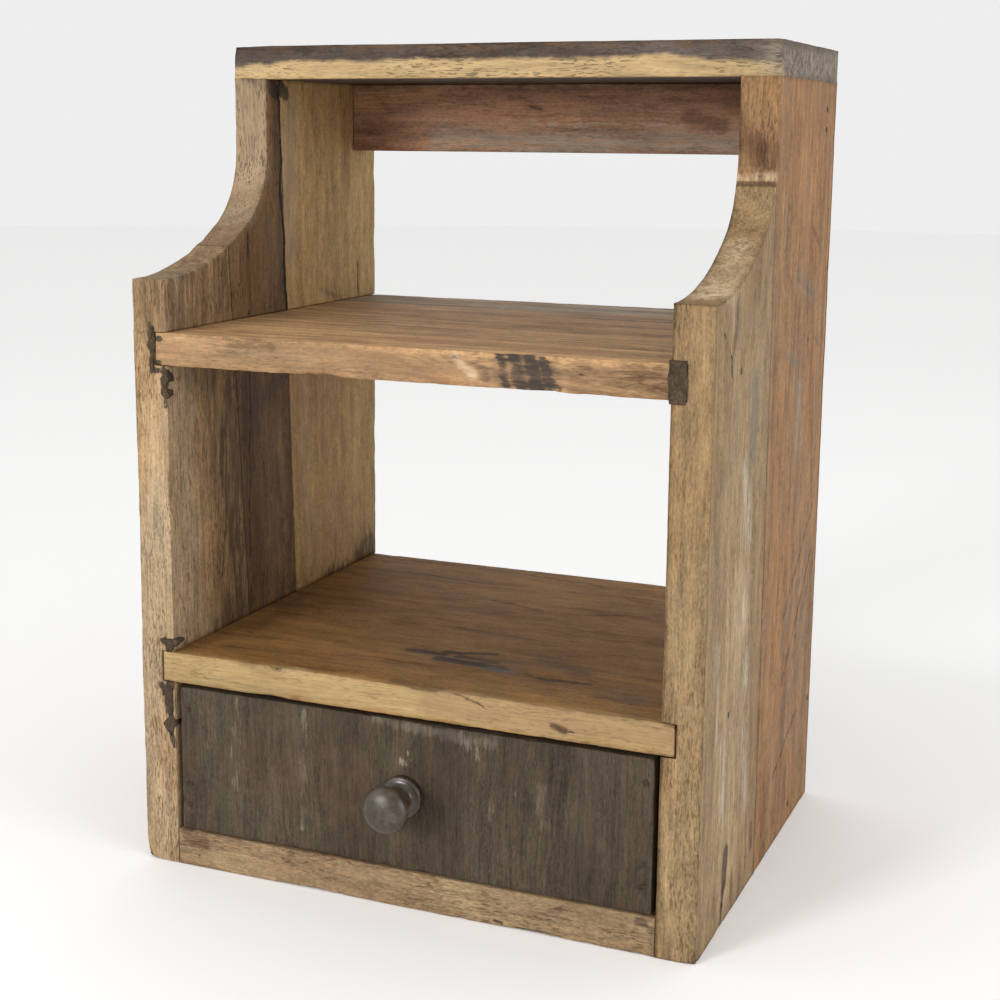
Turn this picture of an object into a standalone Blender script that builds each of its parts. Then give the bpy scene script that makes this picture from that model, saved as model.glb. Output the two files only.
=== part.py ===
"""Small rustic cabinet of reclaimed boards: two open bays above one drawer.

Each side is edge-joined from planks and coved back to a shallower upper section. Both shelves
are housed in the sides, the bottom board and the back rail are butted between them, and the
drawer slides on the bottom board. Metres, +Z up, front towards -Y. The origin is the centre
of the underside.
"""

import math

import bmesh
import bpy
from mathutils import Matrix, Vector

OBJECT_NAME = "reclaimed_wood_cabinet"

# Carcass, outside sizes
CARCASS_WIDTH = 0.380
CARCASS_DEPTH = 0.298
CARCASS_HEIGHT = 0.538
SIDE_THICKNESS = 0.025
TOP_THICKNESS = 0.0225
BOTTOM_THICKNESS = 0.0249

# Bays, from the bottom board upwards; the upper bay takes what is left
DRAWER_BAY_HEIGHT = 0.1008
LOWER_SHELF_THICKNESS = 0.0206
MIDDLE_BAY_HEIGHT = 0.1879
UPPER_SHELF_THICKNESS = 0.0213
HOUSING_DEPTH = 0.009

# Cove: a wide sweep from the step at the front, then a tighter arc up to the upper section
UPPER_SETBACK = 0.1305
STEP_ABOVE_SHELF = 0.0335
COVE_SWEEP_RADIUS = 0.190
COVE_CORNER_RADIUS = 0.057
COVE_STEPS = 9

# Plank joints of the sides: how far behind the front each one is at the foot, and how far
# behind the upper section's front it is at the top
LEFT_FRONT_SEAM = (0.109, -0.0625)
LEFT_REAR_SEAM = (0.171, 0.0175)
RIGHT_SEAM = (0.1397, -0.0045)

# Back rail under the top, set in from the rear edges
RAIL_HEIGHT = 0.0488
RAIL_THICKNESS = 0.022
RAIL_INSET = 0.016

# Board that closes the drawer bay at the rear and stops the drawer
BAY_BACK_THICKNESS = 0.012

# Drawer
DRAWER_SIDE_GAP = 0.0030
DRAWER_TOP_GAP = 0.0025
DRAWER_FLOOR_GAP = 0.0005
DRAWER_REAR_GAP = 0.0015
DRAWER_INSET = 0.0010
DRAWER_FRONT_THICKNESS = 0.018
DRAWER_WALL_THICKNESS = 0.012
DRAWER_WALL_DROP = 0.0078
DRAWER_PANEL_THICKNESS = 0.005
DRAWER_PANEL_RISE = 0.008
DRAWER_GROOVE_DEPTH = 0.005

# Knob: turned, a foot disc, a waist and a mushroom head
KNOB_FOOT_RADIUS = 0.0135
KNOB_FOOT_DEPTH = 0.0045
KNOB_WAIST_RADIUS = 0.0078
KNOB_HEAD_RADIUS = 0.0152
KNOB_HEAD_START = 0.0195
KNOB_HEAD_RIM = 0.0255
KNOB_PROJECTION = 0.0340
KNOB_NECK_DROP = 0.0018
KNOB_FOOT_COVE = 0.0045
KNOB_DOME_STEPS = 6
KNOB_UNDERSIDE_ANGLES = (math.radians(40), math.radians(75))
KNOB_TURN_STEPS = 32

# Fixings
NAIL_SHANK_RADIUS = 0.0011
NAIL_HEAD_RADIUS = 0.0019
NAIL_HEAD_DEPTH = 0.0009
NAIL_POINT = 0.003
NAIL_SET = 0.0003
NAIL_SIDES = 8
CARCASS_NAIL_LENGTH = 0.048
DRAWER_FRONT_NAIL_LENGTH = 0.038
DRAWER_BACK_NAIL_LENGTH = 0.028
KNOB_SCREW_SHANK_RADIUS = 0.0018
KNOB_SCREW_HEAD_RADIUS = 0.0038
KNOB_SCREW_HEAD_DEPTH = 0.0020
KNOB_SCREW_HOLD = 0.016
KNOB_SCREW_SIDES = 16

# Where the nails go
SHELF_NAIL_FROM_FRONT = 0.060
SHELF_NAIL_FROM_BACK = 0.058
TOP_NAILS_FROM_BACK = (0.115, 0.035)
RAIL_NAIL_SPACING = 0.0135
DRAWER_FRONT_NAILS_FROM_BASE = (0.0174, 0.0311)
DRAWER_FRONT_NAIL_FROM_TOP = 0.0154
DRAWER_BACK_NAIL_MARGIN = 0.020

# Repairs at the front ends of the housings
PLUG_WIDTH = 0.011
PLUG_OVERSIZE = 0.0018
PLUG_DEPTH = 0.014
PLUG_TENON = 0.0016
FILLER_DEPTH = 0.007
FILLER_END_WIDTH = 0.0040
FILLER_END_OVERSIZE = 0.0030
FILLER_STRIP_WIDTH = 0.0045
FILLER_STRIP_HEIGHT = 0.020
FILLER_CHIP_WIDTH = 0.0085
FILLER_CHIP_HEIGHT = 0.008
FILLER_PATCH_WIDTH = 0.0080
FILLER_PATCH_HEIGHT = 0.036

EASED_EDGE = 0.0012
JOINT_GAP = 0.0003
CUT_OVERRUN = 0.010

# Places that follow from the sizes above
LEFT = -CARCASS_WIDTH / 2
RIGHT = CARCASS_WIDTH / 2
FRONT = -CARCASS_DEPTH / 2
BACK = CARCASS_DEPTH / 2
INNER_LEFT = LEFT + SIDE_THICKNESS
INNER_RIGHT = RIGHT - SIDE_THICKNESS
UPPER_FRONT = FRONT + UPPER_SETBACK
SIDE_TOP = CARCASS_HEIGHT - TOP_THICKNESS
LOWER_SHELF_BASE = BOTTOM_THICKNESS + DRAWER_BAY_HEIGHT
LOWER_SHELF_TOP = LOWER_SHELF_BASE + LOWER_SHELF_THICKNESS
UPPER_SHELF_BASE = LOWER_SHELF_TOP + MIDDLE_BAY_HEIGHT
UPPER_SHELF_TOP = UPPER_SHELF_BASE + UPPER_SHELF_THICKNESS
STEP_HEIGHT = UPPER_SHELF_TOP + STEP_ABOVE_SHELF
RAIL_BACK = BACK - RAIL_INSET
RAIL_BASE = SIDE_TOP - RAIL_HEIGHT
DRAWER_LEFT = INNER_LEFT + DRAWER_SIDE_GAP
DRAWER_RIGHT = INNER_RIGHT - DRAWER_SIDE_GAP
DRAWER_FACE = FRONT + DRAWER_INSET
DRAWER_FRONT_REAR = DRAWER_FACE + DRAWER_FRONT_THICKNESS
DRAWER_END = BACK - BAY_BACK_THICKNESS - DRAWER_REAR_GAP
DRAWER_BASE = BOTTOM_THICKNESS + DRAWER_FLOOR_GAP
DRAWER_TOP = LOWER_SHELF_BASE - DRAWER_TOP_GAP
DRAWER_PANEL_BASE = DRAWER_BASE + DRAWER_PANEL_RISE
DRAWER_PANEL_TOP = DRAWER_PANEL_BASE + DRAWER_PANEL_THICKNESS
DRAWER_WALL_TOP = DRAWER_TOP - DRAWER_WALL_DROP
KNOB_HEIGHT = (DRAWER_BASE + DRAWER_TOP) / 2

# Colour, roughness and metallic value of each finish
FINISHES = {
    "side_pale": ((0.40, 0.29, 0.17), 0.75, 0.0),
    "side_brown": ((0.31, 0.19, 0.10), 0.75, 0.0),
    "side_warm": ((0.33, 0.20, 0.11), 0.75, 0.0),
    "top_aged": ((0.19, 0.13, 0.08), 0.70, 0.0),
    "rail_grey": ((0.17, 0.10, 0.07), 0.80, 0.0),
    "shelf_warm": ((0.36, 0.22, 0.12), 0.70, 0.0),
    "shelf_golden": ((0.45, 0.29, 0.15), 0.70, 0.0),
    "bottom_pale": ((0.36, 0.26, 0.15), 0.75, 0.0),
    "drawer_dark": ((0.10, 0.075, 0.05), 0.60, 0.0),
    "box_plain": ((0.42, 0.29, 0.17), 0.75, 0.0),
    "knob_dark": ((0.11, 0.09, 0.07), 0.45, 0.0),
    "filler_dark": ((0.07, 0.05, 0.04), 0.85, 0.0),
    "nail_steel": ((0.16, 0.14, 0.13), 0.55, 0.9),
}


def clear_scene():
    """Remove every object that is already in the file."""
    for old in list(bpy.data.objects):
        bpy.data.objects.remove(old, do_unlink=True)


def new_collection(name):
    """Make a collection under the scene's own."""
    made = bpy.data.collections.new(name)
    bpy.context.scene.collection.children.link(made)
    return made


def finish_material(name, finish):
    """Make the material of one sub-part from the table of finishes."""
    colour, roughness, metallic = FINISHES[finish]
    made = bpy.data.materials.new(name)
    made.use_nodes = True
    shader = made.node_tree.nodes["Principled BSDF"]
    shader.inputs["Base Color"].default_value = (*colour, 1.0)
    shader.inputs["Roughness"].default_value = roughness
    shader.inputs["Metallic"].default_value = metallic
    return made


def add_part(name, mesh, finish):
    """Put a sub-part's mesh in the object's collection with a material of its own."""
    part = bpy.data.objects.new(name, mesh)
    mesh.materials.clear()
    mesh.materials.append(finish_material(name + "_finish", finish))
    bpy.data.collections[OBJECT_NAME].objects.link(part)
    return part


def add_cutter(name, mesh):
    """Put a cutter's mesh in the collection of cutters."""
    cutter = bpy.data.objects.new(name, mesh)
    cutter.hide_render = True
    cutter.display_type = "WIRE"
    bpy.data.collections["cutters"].objects.link(cutter)
    return cutter


def box_mesh(name, size):
    """Make a box of the given size around its own centre."""
    shape = bmesh.new()
    bmesh.ops.create_cube(shape, size=1.0)
    bmesh.ops.scale(shape, vec=size, verts=shape.verts)
    mesh = bpy.data.meshes.new(name)
    shape.to_mesh(mesh)
    shape.free()
    return mesh


def add_board(name, low, high, finish):
    """Make a rectangular board between two corners."""
    low, high = Vector(low), Vector(high)
    board = add_part(name, box_mesh(name, high - low), finish)
    board.location = (low + high) / 2
    return board


def add_box_cutter(name, low, high):
    """Make a rectangular cutter between two corners."""
    low, high = Vector(low), Vector(high)
    cutter = add_cutter(name, box_mesh(name, high - low))
    cutter.location = (low + high) / 2
    return cutter


def cut(piece, cutter):
    """Take a cutter's shape out of a piece."""
    boolean = piece.modifiers.new(cutter.name, "BOOLEAN")
    boolean.operation = "DIFFERENCE"
    boolean.solver = "EXACT"
    boolean.object = cutter


def ease_edges(piece, width):
    """Take the sharpness off the edges of a board."""
    bevel = piece.modifiers.new("eased_edges", "BEVEL")
    bevel.width = width
    bevel.segments = 2
    bevel.limit_method = "ANGLE"


def turned_mesh(name, profile):
    """Make the outline of a turned shape from (radius, height) points, top to bottom."""
    shape = bmesh.new()
    corners = [shape.verts.new((radius, 0.0, height)) for radius, height in profile]
    for upper, lower in zip(corners, corners[1:]):
        shape.edges.new((upper, lower))
    mesh = bpy.data.meshes.new(name)
    shape.to_mesh(mesh)
    shape.free()
    return mesh


def turn(outline, steps):
    """Revolve an outline about its own Z axis."""
    screw = outline.modifiers.new("turned", "SCREW")
    screw.axis = "Z"
    screw.angle = math.tau
    screw.steps = steps
    screw.render_steps = steps
    screw.use_merge_vertices = True
    screw.merge_threshold = 0.00001
    screw.use_smooth_shade = True


def point_along(piece, place, direction):
    """Place a turned piece with its own -Z axis along a direction."""
    piece.rotation_mode = "QUATERNION"
    piece.rotation_quaternion = Vector((0, 0, -1)).rotation_difference(Vector(direction))
    piece.location = place


# ---------------------------------------------------------------- sides


def cove_line():
    """Front edge of a side from the step to the upper section, as (y, z) points."""
    sweep_z = STEP_HEIGHT + COVE_SWEEP_RADIUS
    corner_y = UPPER_FRONT - COVE_CORNER_RADIUS
    reach = COVE_SWEEP_RADIUS - COVE_CORNER_RADIUS
    tangent = math.asin((corner_y - FRONT) / reach)
    corner_z = sweep_z - reach * math.cos(tangent)
    line = []
    for step in range(COVE_STEPS):
        angle = tangent * step / COVE_STEPS
        line.append((FRONT + COVE_SWEEP_RADIUS * math.sin(angle),
                     sweep_z - COVE_SWEEP_RADIUS * math.cos(angle)))
    for step in range(COVE_STEPS + 1):
        angle = tangent + (math.pi / 2 - tangent) * step / COVE_STEPS
        line.append((corner_y + COVE_CORNER_RADIUS * math.sin(angle),
                     corner_z - COVE_CORNER_RADIUS * math.cos(angle)))
    return line


def side_outline():
    """Whole outline of a side, as (y, z) points, up to the underside of the top."""
    above = SIDE_TOP + COVE_SWEEP_RADIUS
    outline = [(FRONT, 0.0), *cove_line(), (UPPER_FRONT, above), (BACK, above), (BACK, 0.0)]
    return keep_one_side(outline, (0.0, SIDE_TOP - JOINT_GAP), (0.0, 1.0))


def keep_one_side(outline, place, away):
    """Clip an outline by a straight line, and keep what lies against the direction away."""
    def beyond(point):
        return (point[0] - place[0]) * away[0] + (point[1] - place[1]) * away[1]

    kept = []
    for start, end in zip(outline, outline[1:] + outline[:1]):
        start_out, end_out = beyond(start), beyond(end)
        if start_out <= 0:
            kept.append(start)
        if start_out * end_out < 0:
            share = start_out / (start_out - end_out)
            kept.append((start[0] + share * (end[0] - start[0]),
                         start[1] + share * (end[1] - start[1])))
    return kept


def split_at_seam(outline, seam):
    """Split a side's outline at a plank joint, with the joint's gap between the halves."""
    foot, head = seam
    slope = (UPPER_SETBACK + head - foot) / SIDE_TOP
    away = Vector((1.0, -slope)).normalized()
    place = Vector((FRONT + foot, 0.0))
    before = keep_one_side(outline, place - away * JOINT_GAP / 2, away)
    behind = keep_one_side(outline, place + away * JOINT_GAP / 2, -away)
    return before, behind


def add_plank(name, outline, x_low, x_high, finish):
    """Make a side's plank: a flat outline in the YZ plane, as thick as the side."""
    curve = bpy.data.curves.new(name, "CURVE")
    curve.dimensions = "2D"
    curve.fill_mode = "BOTH"
    curve.extrude = (x_high - x_low) / 2
    spline = curve.splines.new("POLY")
    spline.points.add(len(outline) - 1)
    for point, (y, z) in zip(spline.points, outline):
        point.co = (y, z, 0.0, 1.0)
    spline.use_cyclic_u = True
    guide = bpy.data.objects.new(name + "_outline", curve)
    bpy.data.collections["cutters"].objects.link(guide)
    flat = bpy.data.meshes.new_from_object(guide)
    bpy.data.objects.remove(guide, do_unlink=True)
    shape = bmesh.new()
    shape.from_mesh(flat)
    bmesh.ops.remove_doubles(shape, verts=shape.verts, dist=0.00001)
    bmesh.ops.recalc_face_normals(shape, faces=shape.faces)
    shape.to_mesh(flat)
    shape.free()
    flat.name = name
    plank = add_part(name, flat, finish)
    plank.matrix_world = Matrix((
        (0, 0, 1, (x_low + x_high) / 2),
        (1, 0, 0, 0),
        (0, 1, 0, 0),
        (0, 0, 0, 1),
    ))
    return plank


def add_left_side():
    """Left side: three planks, front to rear."""
    before, rest = split_at_seam(side_outline(), LEFT_FRONT_SEAM)
    between, behind = split_at_seam(rest, LEFT_REAR_SEAM)
    return [
        add_plank("left_side_front_plank", before, LEFT, INNER_LEFT, "side_pale"),
        add_plank("left_side_middle_plank", between, LEFT, INNER_LEFT, "side_brown"),
        add_plank("left_side_rear_plank", behind, LEFT, INNER_LEFT, "side_pale"),
    ]


def add_right_side():
    """Right side: two planks, front and rear."""
    before, behind = split_at_seam(side_outline(), RIGHT_SEAM)
    return [
        add_plank("right_side_front_plank", before, INNER_RIGHT, RIGHT, "side_pale"),
        add_plank("right_side_rear_plank", behind, INNER_RIGHT, RIGHT, "side_warm"),
    ]


# ---------------------------------------------------------------- boards between the sides


def add_shelf(name, base, top, finish, sides):
    """Make a shelf whose ends sit in housings cut across both sides."""
    reach = HOUSING_DEPTH - JOINT_GAP
    shelf = add_board(name, (INNER_LEFT - reach, FRONT, base), (INNER_RIGHT + reach, BACK, top),
                      finish)
    left_housing = add_box_cutter(
        name + "_left_housing",
        (INNER_LEFT - HOUSING_DEPTH, FRONT - CUT_OVERRUN, base - JOINT_GAP),
        (INNER_LEFT + CUT_OVERRUN, BACK + CUT_OVERRUN, top + JOINT_GAP))
    right_housing = add_box_cutter(
        name + "_right_housing",
        (INNER_RIGHT - CUT_OVERRUN, FRONT - CUT_OVERRUN, base - JOINT_GAP),
        (INNER_RIGHT + HOUSING_DEPTH, BACK + CUT_OVERRUN, top + JOINT_GAP))
    for plank in sides["left"]:
        cut(plank, left_housing)
    for plank in sides["right"]:
        cut(plank, right_housing)
    return shelf


def add_between(name, y_low, y_high, z_low, z_high, finish):
    """Make a board butted between the two sides."""
    return add_board(name, (INNER_LEFT + JOINT_GAP, y_low, z_low),
                     (INNER_RIGHT - JOINT_GAP, y_high, z_high), finish)


def add_top():
    """Top board over both sides, as deep as the upper section."""
    top = add_board("top_board", (LEFT, UPPER_FRONT, SIDE_TOP), (RIGHT, BACK, CARCASS_HEIGHT),
                    "top_aged")
    ease_edges(top, EASED_EDGE)
    return top


# ---------------------------------------------------------------- repairs


def add_inlay(name, low, high, finish, hosts):
    """Let a block into its hosts, with the joint's gap all round."""
    block = add_board(name, low, high, finish)
    gap = Vector((JOINT_GAP, JOINT_GAP, JOINT_GAP))
    room = add_box_cutter(name + "_room", Vector(low) - gap, Vector(high) + gap)
    for host in hosts:
        cut(host, room)
    return block


def add_repairs(left_front, right_front, upper_shelf):
    """Plug and fillers at the front ends of the housings."""
    plug_left = INNER_RIGHT - PLUG_TENON
    add_inlay("housing_plug_upper_right",
              (plug_left, FRONT, UPPER_SHELF_BASE - PLUG_OVERSIZE),
              (plug_left + PLUG_WIDTH, FRONT + PLUG_DEPTH, UPPER_SHELF_TOP + PLUG_OVERSIZE),
              "filler_dark", [right_front, upper_shelf])
    end = INNER_LEFT - HOUSING_DEPTH
    add_inlay("housing_filler_upper_left",
              (end - FILLER_END_WIDTH, FRONT, UPPER_SHELF_BASE - FILLER_END_OVERSIZE),
              (end, FRONT + FILLER_DEPTH, UPPER_SHELF_TOP + FILLER_END_OVERSIZE),
              "filler_dark", [left_front])
    strips = (
        ("edge_filler_upper_left", FILLER_STRIP_WIDTH,
         UPPER_SHELF_BASE - JOINT_GAP - FILLER_STRIP_HEIGHT, UPPER_SHELF_BASE - JOINT_GAP),
        ("chip_filler_lower_left", FILLER_CHIP_WIDTH,
         LOWER_SHELF_TOP + JOINT_GAP, LOWER_SHELF_TOP + JOINT_GAP + FILLER_CHIP_HEIGHT),
        ("edge_filler_lower_left", FILLER_PATCH_WIDTH,
         LOWER_SHELF_BASE - JOINT_GAP - FILLER_PATCH_HEIGHT, LOWER_SHELF_BASE - JOINT_GAP),
    )
    for name, width, base, top in strips:
        add_inlay(name, (INNER_LEFT - width, FRONT, base), (INNER_LEFT, FRONT + FILLER_DEPTH, top),
                  "filler_dark", [left_front])


# ---------------------------------------------------------------- fixings


def fixing_profile(head_radius, head_depth, shank_radius, length, point):
    """Outline of a headed fixing, from the top of its head down to its point."""
    return [
        (0.0, 0.0),
        (head_radius, 0.0),
        (head_radius, -head_depth),
        (shank_radius, -head_depth),
        (shank_radius, -(length - point)),
        (0.0, -length),
    ]


def hole_profile(head_radius, head_depth, shank_radius, length):
    """Outline of the hole that a fixing leaves, wider than it by the joint's gap."""
    return [
        (0.0, CUT_OVERRUN),
        (head_radius + JOINT_GAP, CUT_OVERRUN),
        (head_radius + JOINT_GAP, -head_depth - JOINT_GAP),
        (shank_radius + JOINT_GAP, -head_depth - JOINT_GAP),
        (shank_radius + JOINT_GAP, -length - JOINT_GAP),
        (0.0, -length - JOINT_GAP),
    ]


def drive_nail(name, place, direction, length, hosts):
    """Drive a nail from a face into its hosts, its head set just below that face."""
    start = Vector(place) + Vector(direction) * NAIL_SET
    nail = add_part(name, turned_mesh(name, fixing_profile(
        NAIL_HEAD_RADIUS, NAIL_HEAD_DEPTH, NAIL_SHANK_RADIUS, length, NAIL_POINT)), "nail_steel")
    turn(nail, NAIL_SIDES)
    point_along(nail, start, direction)
    hole = add_cutter(name + "_hole", turned_mesh(name + "_hole", hole_profile(
        NAIL_HEAD_RADIUS, NAIL_HEAD_DEPTH, NAIL_SHANK_RADIUS, length)))
    turn(hole, NAIL_SIDES)
    point_along(hole, start, direction)
    for host in hosts:
        cut(host, hole)


def nail_from_both_sides(label, board, sides, spots):
    """Nail a board's ends through both sides at each (y, z) spot."""
    for number, (y, z) in enumerate(spots, start=1):
        drive_nail(f"{label}_nail_left_{number}", (LEFT, y, z), (1, 0, 0), CARCASS_NAIL_LENGTH,
                   [*sides["left"], board])
        drive_nail(f"{label}_nail_right_{number}", (RIGHT, y, z), (-1, 0, 0), CARCASS_NAIL_LENGTH,
                   [*sides["right"], board])


def nail_carcass(sides, boards):
    """Nail the shelves, bottom board, rail, bay back and top."""
    near, far = FRONT + SHELF_NAIL_FROM_FRONT, BACK - SHELF_NAIL_FROM_BACK
    levels = {
        "upper_shelf": (UPPER_SHELF_BASE + UPPER_SHELF_TOP) / 2,
        "lower_shelf": (LOWER_SHELF_BASE + LOWER_SHELF_TOP) / 2,
        "bottom_board": BOTTOM_THICKNESS / 2,
    }
    for label, level in levels.items():
        nail_from_both_sides(label, boards[label], sides, [(near, level), (far, level)])
    rail_y = RAIL_BACK - RAIL_THICKNESS / 2
    rail_z = RAIL_BASE + RAIL_HEIGHT / 2
    nail_from_both_sides("rail", boards["back_rail"], sides,
                         [(rail_y, rail_z + RAIL_NAIL_SPACING / 2),
                          (rail_y, rail_z - RAIL_NAIL_SPACING / 2)])
    nail_from_both_sides("bay_back", boards["drawer_bay_back"], sides,
                         [(BACK - BAY_BACK_THICKNESS / 2,
                           BOTTOM_THICKNESS + DRAWER_BAY_HEIGHT / 2)])
    middles = {"left": LEFT + SIDE_THICKNESS / 2, "right": RIGHT - SIDE_THICKNESS / 2}
    for side, middle in middles.items():
        for number, inset in enumerate(TOP_NAILS_FROM_BACK, start=1):
            drive_nail(f"top_nail_{side}_{number}", (middle, BACK - inset, CARCASS_HEIGHT),
                       (0, 0, -1), CARCASS_NAIL_LENGTH, [*sides[side], boards["top_board"]])


# ---------------------------------------------------------------- drawer


def add_drawer_boards():
    """Front, two walls, back and panel of the drawer, the panel held in grooves."""
    front = add_board("drawer_front", (DRAWER_LEFT, DRAWER_FACE, DRAWER_BASE),
                      (DRAWER_RIGHT, DRAWER_FRONT_REAR, DRAWER_TOP), "drawer_dark")
    ease_edges(front, EASED_EDGE)
    wall_start = DRAWER_FRONT_REAR + JOINT_GAP
    inner_left = DRAWER_LEFT + DRAWER_WALL_THICKNESS
    inner_right = DRAWER_RIGHT - DRAWER_WALL_THICKNESS
    left = add_board("drawer_left_wall", (DRAWER_LEFT, wall_start, DRAWER_BASE),
                     (inner_left, DRAWER_END, DRAWER_WALL_TOP), "box_plain")
    right = add_board("drawer_right_wall", (inner_right, wall_start, DRAWER_BASE),
                      (DRAWER_RIGHT, DRAWER_END, DRAWER_WALL_TOP), "box_plain")
    back = add_board("drawer_back",
                     (inner_left + JOINT_GAP, DRAWER_END - DRAWER_WALL_THICKNESS,
                      DRAWER_PANEL_TOP + JOINT_GAP),
                     (inner_right - JOINT_GAP, DRAWER_END, DRAWER_WALL_TOP), "box_plain")
    reach = DRAWER_GROOVE_DEPTH - JOINT_GAP
    add_board("drawer_panel",
              (inner_left - reach, DRAWER_FRONT_REAR - reach, DRAWER_PANEL_BASE),
              (inner_right + reach, DRAWER_END, DRAWER_PANEL_TOP), "box_plain")
    groove = add_box_cutter(
        "drawer_panel_groove",
        (inner_left - DRAWER_GROOVE_DEPTH, DRAWER_FRONT_REAR - DRAWER_GROOVE_DEPTH,
         DRAWER_PANEL_BASE - JOINT_GAP),
        (inner_right + DRAWER_GROOVE_DEPTH, DRAWER_END + CUT_OVERRUN,
         DRAWER_PANEL_TOP + JOINT_GAP))
    for piece in (front, left, right):
        cut(piece, groove)
    return {"front": front, "left": left, "right": right, "back": back}


def knob_profile():
    """Outline of the knob from the middle of its head down to its foot."""
    dome = KNOB_PROJECTION - KNOB_HEAD_RIM
    under = KNOB_HEAD_RIM - KNOB_HEAD_START
    overhang = KNOB_HEAD_RADIUS - KNOB_WAIST_RADIUS
    outline = [(0.0, KNOB_PROJECTION)]
    for step in range(1, KNOB_DOME_STEPS + 1):
        angle = math.pi / 2 * (1 - step / KNOB_DOME_STEPS)
        outline.append((KNOB_HEAD_RADIUS * math.cos(angle),
                        KNOB_HEAD_RIM + dome * math.sin(angle)))
    for angle in KNOB_UNDERSIDE_ANGLES:
        outline.append((KNOB_WAIST_RADIUS + overhang * math.cos(angle),
                        KNOB_HEAD_RIM - under * math.sin(angle)))
    outline.append((KNOB_WAIST_RADIUS, KNOB_HEAD_START - KNOB_NECK_DROP))
    outline.append((KNOB_WAIST_RADIUS, KNOB_FOOT_DEPTH + KNOB_FOOT_COVE))
    outline.append(((KNOB_WAIST_RADIUS + KNOB_FOOT_RADIUS) / 2,
                    KNOB_FOOT_DEPTH + KNOB_FOOT_COVE / 4))
    outline.append((KNOB_FOOT_RADIUS, KNOB_FOOT_DEPTH))
    outline.append((KNOB_FOOT_RADIUS, 0.0))
    outline.append((0.0, 0.0))
    return outline


def add_knob(front):
    """Turned knob on the drawer front, and the screw that holds it from inside."""
    middle = (DRAWER_LEFT + DRAWER_RIGHT) / 2
    knob = add_part("drawer_knob", turned_mesh("drawer_knob", knob_profile()), "knob_dark")
    turn(knob, KNOB_TURN_STEPS)
    point_along(knob, (middle, DRAWER_FACE - JOINT_GAP, KNOB_HEIGHT), (0, 1, 0))
    length = DRAWER_FRONT_THICKNESS + KNOB_SCREW_HOLD + KNOB_SCREW_HEAD_DEPTH
    screw_start = (middle, DRAWER_FRONT_REAR + KNOB_SCREW_HEAD_DEPTH + JOINT_GAP, KNOB_HEIGHT)
    screw = add_part("knob_screw", turned_mesh("knob_screw", fixing_profile(
        KNOB_SCREW_HEAD_RADIUS, KNOB_SCREW_HEAD_DEPTH, KNOB_SCREW_SHANK_RADIUS, length,
        NAIL_POINT)), "nail_steel")
    turn(screw, KNOB_SCREW_SIDES)
    point_along(screw, screw_start, (0, -1, 0))
    hole_length = length + 2 * JOINT_GAP
    hole = add_cutter("knob_screw_hole", turned_mesh("knob_screw_hole", [
        (0.0, 0.0),
        (KNOB_SCREW_SHANK_RADIUS + JOINT_GAP, 0.0),
        (KNOB_SCREW_SHANK_RADIUS + JOINT_GAP, -hole_length),
        (0.0, -hole_length),
    ]))
    turn(hole, KNOB_SCREW_SIDES)
    point_along(hole, screw_start, (0, -1, 0))
    cut(front, hole)
    cut(knob, hole)


def nail_drawer(boards):
    """Nail the drawer front to its walls, and the walls to the back."""
    centres = {"left": DRAWER_LEFT + DRAWER_WALL_THICKNESS / 2,
               "right": DRAWER_RIGHT - DRAWER_WALL_THICKNESS / 2}
    faces = {"left": (DRAWER_LEFT, (1, 0, 0)), "right": (DRAWER_RIGHT, (-1, 0, 0))}
    back_y = DRAWER_END - DRAWER_WALL_THICKNESS / 2
    back_levels = (DRAWER_PANEL_TOP + DRAWER_BACK_NAIL_MARGIN,
                   DRAWER_WALL_TOP - DRAWER_BACK_NAIL_MARGIN)
    front_levels = [DRAWER_BASE + height for height in DRAWER_FRONT_NAILS_FROM_BASE]
    front_levels.append(DRAWER_TOP - DRAWER_FRONT_NAIL_FROM_TOP)
    for side in ("left", "right"):
        for number, level in enumerate(front_levels, start=1):
            drive_nail(f"drawer_front_nail_{side}_{number}",
                       (centres[side], DRAWER_FACE, level), (0, 1, 0),
                       DRAWER_FRONT_NAIL_LENGTH, [boards["front"], boards[side]])
        face, inward = faces[side]
        for number, level in enumerate(back_levels, start=1):
            drive_nail(f"drawer_back_nail_{side}_{number}", (face, back_y, level), inward,
                       DRAWER_BACK_NAIL_LENGTH, [boards[side], boards["back"]])


def build():
    """Make the whole cabinet."""
    clear_scene()
    new_collection(OBJECT_NAME)
    new_collection("cutters")
    sides = {"left": add_left_side(), "right": add_right_side()}
    boards = {
        "top_board": add_top(),
        "upper_shelf": add_shelf("upper_shelf", UPPER_SHELF_BASE, UPPER_SHELF_TOP, "shelf_warm",
                                 sides),
        "lower_shelf": add_shelf("lower_shelf", LOWER_SHELF_BASE, LOWER_SHELF_TOP,
                                 "shelf_golden", sides),
        "bottom_board": add_between("bottom_board", FRONT, BACK, 0.0, BOTTOM_THICKNESS,
                                    "bottom_pale"),
        "back_rail": add_between("back_rail", RAIL_BACK - RAIL_THICKNESS, RAIL_BACK, RAIL_BASE,
                                 SIDE_TOP - JOINT_GAP, "rail_grey"),
        "drawer_bay_back": add_between("drawer_bay_back", BACK - BAY_BACK_THICKNESS, BACK,
                                       BOTTOM_THICKNESS + JOINT_GAP,
                                       LOWER_SHELF_BASE - JOINT_GAP, "box_plain"),
    }
    add_repairs(sides["left"][0], sides["right"][0], boards["upper_shelf"])
    nail_carcass(sides, boards)
    drawer = add_drawer_boards()
    add_knob(drawer["front"])
    nail_drawer(drawer)


build()
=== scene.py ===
"""Worn boards, fillers, knob and finishes of a small cabinet of reclaimed wood."""

import math

import bmesh
import bpy
import numpy as np
from bpy.props import FloatProperty, FloatVectorProperty, IntProperty, PointerProperty
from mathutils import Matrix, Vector, noise


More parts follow.
